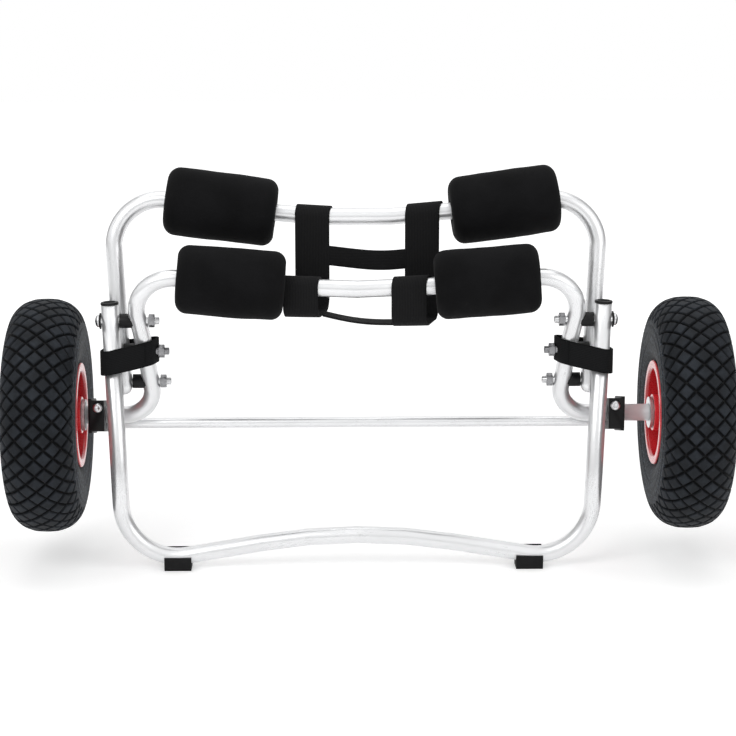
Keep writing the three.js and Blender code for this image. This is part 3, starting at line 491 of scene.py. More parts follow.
class Marks:
    """Point attributes that the finishes read, so that a pattern follows its surface."""

    @staticmethod
    def points(piece: Piece) -> np.ndarray:
        """The piece's vertices as an array of three columns."""
        flat = np.empty(3 * len(piece.data.vertices))
        piece.data.vertices.foreach_get("co", flat)
        return flat.reshape(-1, 3)

    @staticmethod
    def move(piece: Piece, points: np.ndarray) -> None:
        """Puts the piece's vertices at new places.

        Args:
            piece: The piece.
            points: The new places, one row for each vertex.
        """
        piece.data.vertices.foreach_set("co", points.ravel())
        piece.data.update()

    @staticmethod
    def vector(piece: Piece, name: str, values: np.ndarray) -> None:
        """Writes a vector attribute.

        Args:
            piece: The piece.
            name: The attribute's name.
            values: One row for each vertex.
        """
        attribute = piece.data.attributes.new(name, "FLOAT_VECTOR", "POINT")
        attribute.data.foreach_set("vector", values.astype(np.float32).ravel())

    @staticmethod
    def number(piece: Piece, name: str, values: np.ndarray) -> None:
        """Writes a number attribute.

        Args:
            piece: The piece.
            name: The attribute's name.
            values: One number for each vertex.
        """
        attribute = piece.data.attributes.new(name, "FLOAT", "POINT")
        attribute.data.foreach_set("value", values.astype(np.float32))

    @staticmethod
    def six_flats(angle: np.ndarray) -> np.ndarray:
        """The distance of a hexagon's sides at each angle, as a share of its corners' distance."""
        return math.cos(math.pi / 6) / np.cos((angle % (math.pi / 3)) - math.pi / 6)

    @classmethod
    def measured(cls, piece: Piece, route: Route) -> tuple[np.ndarray, np.ndarray, np.ndarray]:
        """Where each vertex lies along a route and beside it.

        Args:
            piece: The piece.
            route: The route that it follows.

        Returns:
            The distance along the route, the offset from it, and the route's direction there.
        """
        stations = np.array(route.stations())
        spans = stations[1:] - stations[:-1]
        lengths = np.linalg.norm(spans, axis=1)
        headings = spans / lengths[:, None]
        starts = np.concatenate([[0], np.cumsum(lengths)[:-1]])
        points = cls.points(piece)
        away = points[:, None, :] - stations[None, :-1, :]
        along = np.clip(np.einsum("psk,sk->ps", away, headings), 0, lengths)
        offset = away - along[:, :, None] * headings[None, :, :]
        nearest = np.argmin(np.linalg.norm(offset, axis=2), axis=1)
        rows = np.arange(len(points))
        return starts[nearest] + along[rows, nearest], offset[rows, nearest], headings[nearest]

    @classmethod
    def along_route(cls, piece: Piece, route: Route) -> None:
        """Writes the attribute run: the distance along the route, and the two offsets from it.

        Args:
            piece: The piece, which follows a flat route.
            route: The route.
        """
        bends = [leg for leg in route.legs if isinstance(leg, Bend)]
        normal = np.array(bends[0].axis if bends else route.heading.orthogonal().normalized())
        distance, offset, heading = cls.measured(piece, route)
        side = np.cross(heading, normal)
        rows = np.stack([distance, offset @ normal, np.einsum("pk,pk->p", offset, side)], axis=1)
        cls.vector(piece, "run", rows)


class Signal:
    """A number or a node's output that takes arithmetic, and adds the nodes for it."""

    def __init__(self, graph: "Graph", source: bpy.types.NodeSocket | float) -> None:
        """Holds the source.

        Args:
            graph: The graph that the nodes go into.
            source: A socket or a plain number.
        """
        self.graph = graph
        self.source = source

    def __add__(self, other: "Signal | float") -> "Signal":
        """The sum."""
        return self.graph.math("ADD", self, other)

    def __sub__(self, other: "Signal | float") -> "Signal":
        """The difference."""
        return self.graph.math("SUBTRACT", self, other)

    def __rsub__(self, other: float) -> "Signal":
        """The difference from a number."""
        return self.graph.math("SUBTRACT", other, self)

    def __mul__(self, other: "Signal | float") -> "Signal":
        """The product."""
        return self.graph.math("MULTIPLY", self, other)

    def __truediv__(self, other: "Signal | float") -> "Signal":
        """The quotient."""
        return self.graph.math("DIVIDE", self, other)

    def size(self) -> "Signal":
        """Its value without a sign."""
        return self.graph.math("ABSOLUTE", self)

    def whole(self) -> "Signal":
        """Its value rounded down."""
        return self.graph.math("FLOOR", self)

    def between(self, low: float, high: float) -> "Signal":
        """0 at low and 1 at high, held at both ends.

        Args:
            low: The value that becomes 0.
            high: The value that becomes 1.

        Returns:
            The share.
        """
        node = self.graph.node("ShaderNodeMapRange", interpolation_type="SMOOTHSTEP")
        self.graph.join(self, node.inputs["Value"])
        node.inputs["From Min"].default_value = low
        node.inputs["From Max"].default_value = high
        return Signal(self.graph, node.outputs["Result"])


class Graph:
    """The node graph of one material."""

    def __init__(self, name: str) -> None:
        """Makes the material.

        Args:
            name: The material's name.
        """
        self.material = bpy.data.materials.new(name)
        self.material.use_nodes = True
        self.tree = self.material.node_tree
        self.shader = self.tree.nodes["Principled BSDF"]

    def node(self, kind: str, **settings: object) -> bpy.types.Node:
        """Adds a node.

        Args:
            kind: The node's type.
            settings: Its settings.

        Returns:
            The node.
        """
        made = self.tree.nodes.new(kind)
        for key, value in settings.items():
            setattr(made, key, value)
        return made

    def join(self, value: "Signal | float | Colour", socket: bpy.types.NodeSocket) -> None:
        """Links a signal to a socket, or sets a constant on it.

        Args:
            value: The signal, number or colour.
            socket: The socket that takes it.
        """
        source = value.source if isinstance(value, Signal) else value
        if isinstance(source, bpy.types.NodeSocket):
            self.tree.links.new(source, socket)
        elif isinstance(source, (int, float)):
            socket.default_value = source
        else:
            socket.default_value = (*source, 1.0) if len(socket.default_value) == 4 else source

    def math(self, operation: str, first: "Signal | float", second: "Signal | float" = 0.0) -> Signal:
        """Adds a Math node.

        Args:
            operation: The operation.
            first: The first value.
            second: The second value.

        Returns:
            The result.
        """
        node = self.node("ShaderNodeMath", operation=operation)
        self.join(first, node.inputs[0])
        self.join(second, node.inputs[1])
        return Signal(self, node.outputs[0])

    def place(self) -> Signal:
        """The Object coordinates."""
        return Signal(self, self.node("ShaderNodeTexCoord").outputs["Object"])

    def mark(self, name: str) -> Signal:
        """A vector attribute of the piece.

        Args:
            name: The attribute's name.

        Returns:
            The vector.
        """
        return Signal(self, self.node("ShaderNodeAttribute", attribute_name=name).outputs["Vector"])

    def share(self, name: str) -> Signal:
        """A number attribute of the piece.

        Args:
            name: The attribute's name.

        Returns:
            The number.
        """
        return Signal(self, self.node("ShaderNodeAttribute", attribute_name=name).outputs["Fac"])

    def stretched(self, vector: Signal, scale: tuple[float, float, float]) -> Signal:
        """A vector times a scale for each axis.

        Args:
            vector: The vector.
            scale: The three factors.

        Returns:
            The scaled vector.
        """
        node = self.node("ShaderNodeVectorMath", operation="MULTIPLY")
        self.join(vector, node.inputs[0])
        node.inputs[1].default_value = scale
        return Signal(self, node.outputs[0])

    def part(self, vector: Signal) -> tuple[Signal, Signal, Signal]:
        """The three numbers of a vector."""
        node = self.node("ShaderNodeSeparateXYZ")
        self.join(vector, node.inputs[0])
        return tuple(Signal(self, output) for output in node.outputs)

    def noise(self, vector: Signal, scale: float, detail: float = 3.0, roughness: float = 0.5) -> Signal:
        """Smooth noise around a half.

        Args:
            vector: The coordinates.
            scale: Lumps per metre.
            detail: The number of finer layers.
            roughness: How strong the finer layers are.

        Returns:
            The noise.
        """
        node = self.node("ShaderNodeTexNoise")
        self.join(vector, node.inputs["Vector"])
        node.inputs["Scale"].default_value = scale
        node.inputs["Detail"].default_value = detail
        node.inputs["Roughness"].default_value = roughness
        return Signal(self, node.outputs["Fac"])

    def cells(self, vector: Signal, scale: float) -> Signal:
        """The distance to the nearest cell's middle.

        Args:
            vector: The coordinates.
            scale: Cells per metre.

        Returns:
            The distance.
        """
        node = self.node("ShaderNodeTexVoronoi")
        self.join(vector, node.inputs["Vector"])
        node.inputs["Scale"].default_value = scale
        return Signal(self, node.outputs["Distance"])

    def mix(self, factor: Signal, first: "Signal | Colour", second: "Signal | Colour") -> Signal:
        """Mixes two colours.

        Args:
            factor: 0 for the first, 1 for the second.
            first: The first colour.
            second: The second colour.

        Returns:
            The mixed colour.
        """
        node = self.node("ShaderNodeMix", data_type="RGBA")
        self.join(factor, node.inputs[0])
        self.join(first, node.inputs[6])
        self.join(second, node.inputs[7])
        return Signal(self, node.outputs[2])

    def bump(self, height: Signal, depth: float, strength: float = 1.0) -> None:
        """Gives the surface a relief.

        Args:
            height: The relief, from 0 to 1.
            depth: The height of 1 in metres.
            strength: The share of the relief that shows.
        """
        node = self.node("ShaderNodeBump")
        node.inputs["Strength"].default_value = strength
        node.inputs["Distance"].default_value = depth
        self.join(height, node.inputs["Height"])
        self.tree.links.new(node.outputs["Normal"], self.shader.inputs["Normal"])

    def set(self, **values: "Signal | float | Colour") -> None:
        """Sets the shader's sockets.

        Args:
            values: Each socket's name, with _ for a space, and its value.
        """
        for name, value in values.items():
            self.join(value, self.shader.inputs[name.replace("_", " ")])


class Surround(Graph):
    """The node graph of the world."""

    def __init__(self, name: str) -> None:
        """Makes the world.

        Args:
            name: The world's name.
        """
        world = bpy.data.worlds.new(name)
        bpy.context.scene.world = world
        world.use_nodes = True
        self.tree = world.node_tree
        self.shader = self.tree.nodes["Background"]


@dataclass(frozen=True)
class Finish:
    """A finish, with the record's slot that it belongs to."""

    name: str
    slot: str
    colour: Colour
    roughness: float

    def surface(self, graph: Graph) -> None:
        """Builds the surface.

        Args:
            graph: The material's graph.
        """
        raise NotImplementedError

    def material(self) -> bpy.types.Material:
        """The finish's material, made once."""
        if self.name not in bpy.data.materials:
            self.surface(Graph(self.name))
        return bpy.data.materials[self.name]

    def shade(self, factor: float) -> Colour:
        """The colour made darker or lighter."""
        return tuple(min(1.0, channel * factor) for channel in self.colour)


@dataclass(frozen=True)
class DrawnAluminium(Finish):
    """Satin tube with fine lines along its length, duller on the axle stubs, where the hubs rub."""

    stub_from: float = 296 * MM

    def surface(self, graph: Graph) -> None:
        """Builds the surface."""
        run = graph.mark("run")
        lines = graph.noise(graph.stretched(run, (0.02, 1.0, 1.0)), 2600, 4, 0.6)
        clouds = graph.noise(graph.stretched(run, (0.4, 1.0, 1.0)), 60, 2)
        place = graph.place()
        handled = graph.noise(place, 14, 3)
        beside = (graph.part(place)[0] - LAYOUT.frame_middle).size()
        stub = beside.between(self.stub_from, self.stub_from + 4 * MM)
        graph.set(
            Base_Color=graph.mix(clouds.between(0.3, 0.7), self.shade(0.95), self.colour),
            Metallic=stub * -0.5 + 0.68,
            Roughness=lines * 0.10 + handled * 0.08 + (self.roughness - 0.09),
        )
        graph.bump(lines, 0.012 * MM, 0.5)


@dataclass(frozen=True)
class PlatedSteel(Finish):
    """Zinc-plated hardware with a faint cloudy lustre."""

    def surface(self, graph: Graph) -> None:
        """Builds the surface."""
        place = graph.place()
        clouds = graph.noise(place, 420, 3)
        scuffs = graph.noise(graph.stretched(place, (1.0, 3.0, 0.6)), 900, 4, 0.65)
        graph.set(
            Base_Color=graph.mix(clouds.between(0.35, 0.65), self.shade(0.86), self.colour),
            Metallic=1.0,
            Roughness=scuffs * 0.22 + (self.roughness - 0.11),
        )
        graph.bump(scuffs, 0.02 * MM, 0.35)


@dataclass(frozen=True)
class GlossRed(Finish):
    """Powder-coated red with a faint orange peel."""

    def surface(self, graph: Graph) -> None:
        """Builds the surface."""
        place = graph.place()
        peel = graph.noise(place, 700, 2)
        tone = graph.noise(place, 25, 2)
        graph.set(
            Base_Color=graph.mix(tone.between(0.3, 0.7), self.shade(0.88), self.colour),
            Roughness=peel * 0.08 + (self.roughness - 0.04),
            Coat_Weight=0.6,
            Coat_Roughness=0.08,
        )
        graph.bump(peel, 0.05 * MM, 0.5)


@dataclass(frozen=True)
class TreadRubber(Finish):
    """Tyre rubber, paler on the blocks than in the grooves, which carry painted shade, and paler again on the
    walls, whose pale specks are painted glints on painted sheen.
    """

    # The wall's pale specks and its paler tone are painted glints and painted sheen.
    speck_range: tuple[float, float] = (0.53, 0.62)
    wall_tones: tuple[float, float] = (1.6, 6.0)
    # How much darker the groove floors are painted: painted shade in the recesses.
    groove_tone: float = 0.15

    def surface(self, graph: Graph) -> None:
        """Builds the surface."""
        place = graph.place()
        grain = graph.noise(place, 1800, 3, 0.6)
        dust = graph.noise(place, 45, 4, 0.6)
        worn = graph.mix(dust.between(0.35, 0.7), self.colour, self.shade(2.4))
        groove = graph.share("groove")
        # The walls are painted paler than the tread, with pale specks: painted sheen and painted glints.
        painted_glints = graph.noise(place, 330, 2).between(*self.speck_range)
        wall = graph.mix(painted_glints, *(self.shade(tone) for tone in self.wall_tones))
        # The groove floors are painted darker than the blocks: painted shade.
        tread = graph.mix(groove.between(0.1, 0.9), worn, self.shade(self.groove_tone))
        graph.set(
            Base_Color=graph.mix(graph.share("wall"), tread, wall),
            Roughness=grain * 0.16 + dust * 0.10 + (self.roughness - 0.13),
            Specular_IOR_Level=0.16,
        )
        graph.bump(grain, 0.06 * MM, 0.6)


@dataclass(frozen=True)
class MouldedBlack(Finish):
    """Black plastic or rubber with a fine moulded grain."""

    grain_per_metre: float = 1500.0
    grain_depth: float = 0.05 * MM

    def surface(self, graph: Graph) -> None:
        """Builds the surface."""
        place = graph.place()
        grain = graph.noise(place, self.grain_per_metre, 3, 0.6)
        tone = graph.noise(place, 80, 2)
        graph.set(
            Base_Color=graph.mix(tone.between(0.3, 0.7), self.shade(0.75), self.shade(1.25)),
            Roughness=grain * 0.18 + (self.roughness - 0.09),
            Specular_IOR_Level=0.2,
        )
        graph.bump(grain, self.grain_depth, 0.5)


@dataclass(frozen=True)
class FoamSkin(Finish):
    """Closed-cell foam with a soft skin, fine pores and shallow dimples."""

    def surface(self, graph: Graph) -> None:
        """Builds the surface."""
        place = graph.place()
        pores = graph.cells(place, 900)
        skin = graph.noise(place, 320, 4, 0.6)
        tone = graph.noise(place, 22, 3)
        graph.set(
            Base_Color=graph.mix(tone.between(0.3, 0.7), self.shade(0.8), self.shade(1.3)),
            Roughness=skin * 0.12 + (self.roughness - 0.06),
            Specular_IOR_Level=0.07,
            Sheen_Weight=0.02,
            Sheen_Roughness=0.5,
        )
        graph.bump(pores * 0.5 + skin * 0.5, 0.25 * MM, 0.6)


@dataclass(frozen=True)
class WovenWebbing(Finish):
    """Flat-woven webbing: ribs along its length, crossed by the weft."""

    rib: float = 1.7 * MM
    pick: float = 1.3 * MM

    def surface(self, graph: Graph) -> None:
        """Builds the surface."""
        along, across, _ = graph.part(graph.mark("cloth"))
        rows = across / self.rib
        warp = graph.math("SINE", rows * math.pi).size()
        shift = rows.whole() * 0.5
        weft = graph.math("SINE", (along / self.pick + shift) * math.pi).size()
        fuzz = graph.noise(graph.place(), 2200, 3, 0.6)
        weave = warp * 0.6 + weft * 0.4
        graph.set(
            Base_Color=graph.mix(weave.between(0.25, 0.9), self.shade(0.45), self.shade(1.3)),
            Roughness=fuzz * 0.2 + (self.roughness - 0.1),
            Specular_IOR_Level=0.1,
            Sheen_Weight=0.03,
            Sheen_Roughness=0.45,
        )
        graph.bump(weave * 0.75 + fuzz * 0.25, 0.3 * MM, 0.8)


@dataclass(frozen=True)
class LoopPile(Finish):
    """The short pile of a hook-and-loop strap."""

    row_pitch: float = 1.9 * MM
    edge_band: tuple[float, float] = (12.2 * MM, 13.0 * MM)
    pile_depth: float = 0.35 * MM

    def surface(self, graph: Graph) -> None:
        """Builds the surface."""
        along, across, _ = graph.part(graph.mark("cloth"))
        pile = graph.noise(graph.place(), 1700, 4, 0.7)
        rows = graph.math("SINE", across * (math.pi / self.row_pitch)).size()
        edge = across.size().between(*self.edge_band)
        tuft = pile * 0.75 + rows * 0.25
        body = graph.mix(tuft.between(0.3, 0.75), self.shade(0.6), self.shade(1.5))
        graph.set(
            Base_Color=graph.mix(edge, body, self.shade(0.35)),
            Roughness=pile * 0.12 + (self.roughness - 0.06),
            Specular_IOR_Level=0.08,
            Sheen_Weight=0.04,
            Sheen_Roughness=0.5,
        )
        graph.bump(tuft, self.pile_depth, 0.8)


class Finishes:
    """The cart's finishes."""

    TUBE = DrawnAluminium("drawn_aluminium", "aluminium", (0.84, 0.845, 0.855), 0.29)
    STEEL = PlatedSteel("plated_steel", "steel", (0.74, 0.745, 0.755), 0.3)
    ZINC = PlatedSteel("dull_zinc", "steel", (0.3, 0.3, 0.31), 0.36)
    RED = GlossRed("gloss_red", "red_paint", (0.76, 0.026, 0.036), 0.28)
    TYRE = TreadRubber("tread_rubber", "tyre", (0.0085, 0.0102, 0.0128), 0.62)
    RUBBER = MouldedBlack("moulded_rubber", "rubber", (0.006, 0.006, 0.0065), 0.7, 1100.0, 0.08 * MM)
    PLASTIC = MouldedBlack("moulded_plastic", "black_plastic", (0.006, 0.006, 0.0065), 0.42)
    FOAM = FoamSkin("foam_skin", "foam", (0.0055, 0.0055, 0.006), 0.85)
    WEBBING = WovenWebbing("woven_webbing", "webbing", (0.009, 0.009, 0.0095), 0.8)
    PILE = LoopPile("loop_pile", "webbing", (0.009, 0.0092, 0.0098), 0.92)


@dataclass
class SubAssembly:
    """A group of pieces that is built and dressed together."""

    made: list[str] = field(default_factory=list, init=False)

    def wear(
        self, piece: Piece, finish: Finish, body: str | None, stands_for: tuple[str, ...] = ()
    ) -> Piece:
        """Gives a piece its finish and lets it ride on its body.

        Args:
            piece: The piece.
            finish: The finish.
            body: The body that it rides on, or None, where it rides on no body.
            stands_for: The CAD nodes that it replaces.

        Returns:
            The piece.
        """
        Bench.clear()
        piece.data.materials.clear()
        piece.data.materials.append(finish.material())
        if body:
            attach(piece, body)
        if stands_for:
            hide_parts(*stands_for)
        self.made.append(piece.name)
        log.info("%s: %d faces, %s", piece.name, len(piece.data.polygons), finish.name)
        return piece


@dataclass
class TubeFrame(SubAssembly):
    """The kickstand loop, the two arms and the cross rod."""

    kickstand_top: tuple[float, float] = (269.7 * MM, 130.8 * MM)
    kickstand_foot: tuple[float, float] = (260.1 * MM, -165 * MM)
    kickstand_peak: float = -121.3 * MM
    kickstand_corner: float = 62 * MM
    kickstand_bow: float = 650 * MM
    front_end: float = 398 * MM
    front_stub: float = 223 * MM
    front_knee: tuple[float, float] = (235.5 * MM, 95 * MM)
    front_shoulder: tuple[float, float] = (249 * MM, 166.5 * MM)
    front_middle: float = 145.5 * MM
    front_radii: tuple[float, float, float, float] = (32 * MM, 200 * MM, 40 * MM, 900 * MM)
    rear_pivot: tuple[float, float] = (258.5 * MM, 41 * MM)
    rear_shoulder: tuple[float, float] = (272 * MM, 247 * MM)
    rear_middle: float = 212 * MM
    rear_radii: tuple[float, float] = (52 * MM, 900 * MM)
    rear_end_below_pivot: float = 5.5 * MM
    rod_radius: float = 6 * MM
    rod_half_length: float = 289.4 * MM
    rod_behind: float = 14 * MM
    rod_below: float = 13 * MM

    @staticmethod
    def loop(right: list[Corner], middle: Corner) -> Route:
        """A route that is the same on both sides.

        Args:
            right: The corners on the right, from the middle outwards.
            middle: The corner in the middle.

        Returns:
            The route, from left to right.
        """
        return Route([corner.across() for corner in reversed(right)] + [middle] + right)

    def kickstand_route(self) -> Route:
        """The kickstand's middle line."""
        foot = Corner(LAYOUT.on_kickstand(*self.kickstand_foot), self.kickstand_corner)
        top = Corner(LAYOUT.on_kickstand(*self.kickstand_top))
        return self.loop([foot, top], Corner(LAYOUT.on_kickstand(0, self.kickstand_peak), self.kickstand_bow))

    def front_route(self) -> Route:
        """The front arm's middle line, from stub to stub."""
        stub, knee, shoulder, bow = self.front_radii
        leg = [
            Corner(LAYOUT.on_front_arm(*self.front_shoulder), shoulder),
            Corner(LAYOUT.on_front_arm(*self.front_knee), knee),
            Corner(LAYOUT.on_front_arm(self.front_stub, 0), stub),
        ]
        ends = [Corner(Vector((sign * self.front_end, 0, LAYOUT.axle_height))) for sign in (-1, 1)]
        across = [corner.across() for corner in reversed(leg)]
        middle = Corner(LAYOUT.on_front_arm(0, self.front_middle), bow)
        return Route([ends[0]] + across + [middle] + leg + [ends[1]])

    def rear_route(self) -> Route:
        """The rear arm's middle line."""
        shoulder = Corner(LAYOUT.on_rear_arm(*self.rear_shoulder), self.rear_radii[0])
        pivot = LAYOUT.on_rear_arm(*self.rear_pivot)
        end = pivot + (pivot - shoulder.at).normalized() * self.rear_end_below_pivot
        middle = Corner(LAYOUT.on_rear_arm(0, self.rear_middle), self.rear_radii[1])
        return self.loop([shoulder, Corner(end)], middle)

    def walled(self, name: str, route: Route) -> Piece:
        """A tube with its wall, open at both ends.

        Args:
            name: The piece's name.
            route: The middle line.

        Returns:
            The piece.
        """
        tube = Bench.tube(name, route, LAYOUT.tube_radius)
        Bench.finish(tube, "SOLIDIFY", thickness=LAYOUT.tube_wall, offset=-1.0, use_rim=True)
        return tube

    def rounded(self, name: str, route: Route) -> Piece:
        """A tube whose two ends are closed by domes.

        Args:
            name: The piece's name.
            route: The middle line.

        Returns:
            The piece.
        """
        radius = LAYOUT.tube_radius
        start = route.legs[0].start
        piece = Bench.circle(name, start, route.heading, radius, 40)
        Bench.follow(route)
        for at, outward in ((start, -route.heading), (route.legs[-1].end, self.last_heading(route))):
            self.dome(piece, at, outward, radius)
        Bench.close(piece)
        Marks.along_route(piece, route)
        return piece

    @staticmethod
    def last_heading(route: Route) -> Vector:
        """The direction in which a route ends."""
        return (route.legs[-1].end - route.legs[-1].start).normalized()

    @staticmethod
    def dome(piece: Piece, at: Vector, outward: Vector, radius: float, rings: int = 8) -> None:
        """Closes one end of an open tube with a round dome.

        Args:
            piece: The tube, open in edit mode.
            at: The middle of its end.
            outward: The direction out of that end.
            radius: The tube's radius.
            rings: The number of rings of the dome.
        """
        bpy.ops.object.mode_set(mode="OBJECT")
        away = Marks.points(piece) - np.array(at)
        near = np.linalg.norm(away, axis=1) < 1.05 * radius
        Bench.pick(piece, (np.abs(away @ np.array(outward)) < 0.05 * MM) & near)
        bpy.ops.mesh.select_mode(type="EDGE")
        for ring in range(1, rings + 1):
            before, after = (math.pi / 2 * step / rings for step in (ring - 1, ring))
            Bench.push(outward * radius * (math.sin(after) - math.sin(before)))
            factor = max(math.cos(after), 0.02) / math.cos(before)
            centre = at + outward * radius * math.sin(after)
            bpy.ops.transform.resize(value=(factor,) * 3, center_override=tuple(centre))
        bpy.ops.mesh.merge(type="CENTER")
        bpy.ops.mesh.select_mode(type="VERT")

    def rod(self) -> Piece:
        """The cross rod, with broken edges at its ends."""
        half, radius, edge = self.rod_half_length, self.rod_radius, 0.8 * MM
        profile = [(0, -half), (radius - edge, -half), (radius, edge - half)]
        profile += [(radius, half - edge), (radius - edge, half), (0, half)]
        middle = LAYOUT.place(0, self.rod_behind, -self.rod_below)
        piece = Bench.turn("cross_rod_finished", profile, middle, RIGHT, 32)
        line = Route([Corner(middle - RIGHT * half), Corner(middle + RIGHT * half)])
        Marks.along_route(piece, line)
        return piece

    def build(self) -> None:
        """Builds and dresses the tubes."""
        tube = Finishes.TUBE
        kickstand = self.walled("kickstand_loop", self.kickstand_route())
        self.wear(kickstand, tube, "kickstand", ("kickstand_tube",))
        self.wear(self.walled("front_arm_bar", self.front_route()), tube, "frame", ("front_arm_tube",))
        self.wear(self.rounded("rear_arm_bar", self.rear_route()), tube, "rear_arm", ("rear_arm_tube",))
        self.wear(self.rod(), tube, "frame", ("cross_rod",))


@dataclass
class KickstandTrim(SubAssembly):
    """The end caps on the kickstand's legs and the rubber feet under its foot bar."""

    cap_radius: float = 9.8 * MM
    cap_height: float = 3.2 * MM
    cap_bend: float = 1.2 * MM
    cap_seat: float = 0.3 * MM
    cap_edge: float = 0.4 * MM
    cap_dish: Table = ((3, 0), (3.6, 1.2))
    cap_floor: float = 1.6 * MM
    plug_play: float = 0.3 * MM
    plug_depth: float = 9 * MM
    rib_pitch: float = 2.0 * MM
    rib_depth: float = 0.7 * MM
    wall_reach: float = 0.7 * MM

    def cap(self, side: Side) -> Piece:
        """An end cap with a dished top.

        Args:
            side: The side that it is on.

        Returns:
            The piece.
        """
        tubes = TubeFrame()
        top = LAYOUT.on_kickstand(side.value * tubes.kickstand_top[0], tubes.kickstand_top[1])
        foot = LAYOUT.on_kickstand(side.value * tubes.kickstand_foot[0], tubes.kickstand_foot[1])
        radius, height, bend = self.cap_radius, self.cap_height, self.cap_bend
        plug = LAYOUT.tube_radius - LAYOUT.tube_wall - self.plug_play
        seat, floor = self.cap_seat, height - self.cap_floor
        depth, edge = -self.plug_depth, self.cap_edge
        profile = [(0, depth), (plug, depth), (plug, seat), (radius - edge, seat), (radius, seat + edge)]
        profile += [(radius, height - bend), *quarter(radius, height, bend, 4)[::-1], (radius - bend, height)]
        profile += [(radius - inward, height - down) for inward, down in millimetres(self.cap_dish)]
        profile += [(radius * 0.3, floor), (0, floor)]
        name = f"kickstand_cap_{side.word}"
        return Bench.turn(f"{name}_finished", profile, top, top - foot, 40)

    def foot(self, side: Side) -> Piece:
        """A ribbed rubber clip round the back and underside of the foot bar.

        Args:
            side: The side that it is on.

        Returns:
            The piece.
        """
        lo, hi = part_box(f"foot_{side.word}")
        piece = Bench.softened(f"foot_{side.word}", 0.6 * MM)
        Bench.take(piece)
        bpy.ops.object.mode_set(mode="EDIT")
        for index in range(1, int((hi.x - lo.x) / self.rib_pitch)):
            for shift in (-0.3, 0.3):
                bpy.ops.mesh.select_all(action="SELECT")
                at = lo.x + (index + shift) * self.rib_pitch
                bpy.ops.mesh.bisect(plane_co=(at, 0, 0), plane_no=(1, 0, 0))
        bpy.ops.object.mode_set(mode="OBJECT")
        self.groove(piece, lo, hi)
        bpy.ops.object.shade_smooth_by_angle(angle=math.radians(30))
        return piece

    def groove(self, piece: Piece, lo: Vector, hi: Vector) -> None:
        """Presses the ribs into a foot's back and front walls.

        Args:
            piece: The foot, cut across at each rib.
            lo: The foot's lowest corner.
            hi: The foot's highest corner.
        """
        points = Marks.points(piece)
        phase = np.abs(((points[:, 0] - lo.x) / self.rib_pitch) % 1.0 - 0.5)
        inner = (points[:, 0] > lo.x + MM) & (points[:, 0] < hi.x - MM)
        rib = inner & (phase > 0.15)
        for limit, sign in ((lo.y, 1), (hi.y, -1)):
            wall = rib & (np.abs(points[:, 1] - limit) < self.wall_reach)
            points[wall, 1] += sign * self.rib_depth
        Marks.move(piece, points)

    def build(self) -> None:
        """Builds and dresses the caps and feet."""
        for side in Side:
            self.wear(self.cap(side), Finishes.PLASTIC, "kickstand", (f"kickstand_cap_{side.word}",))
            self.wear(self.foot(side), Finishes.RUBBER, "kickstand")


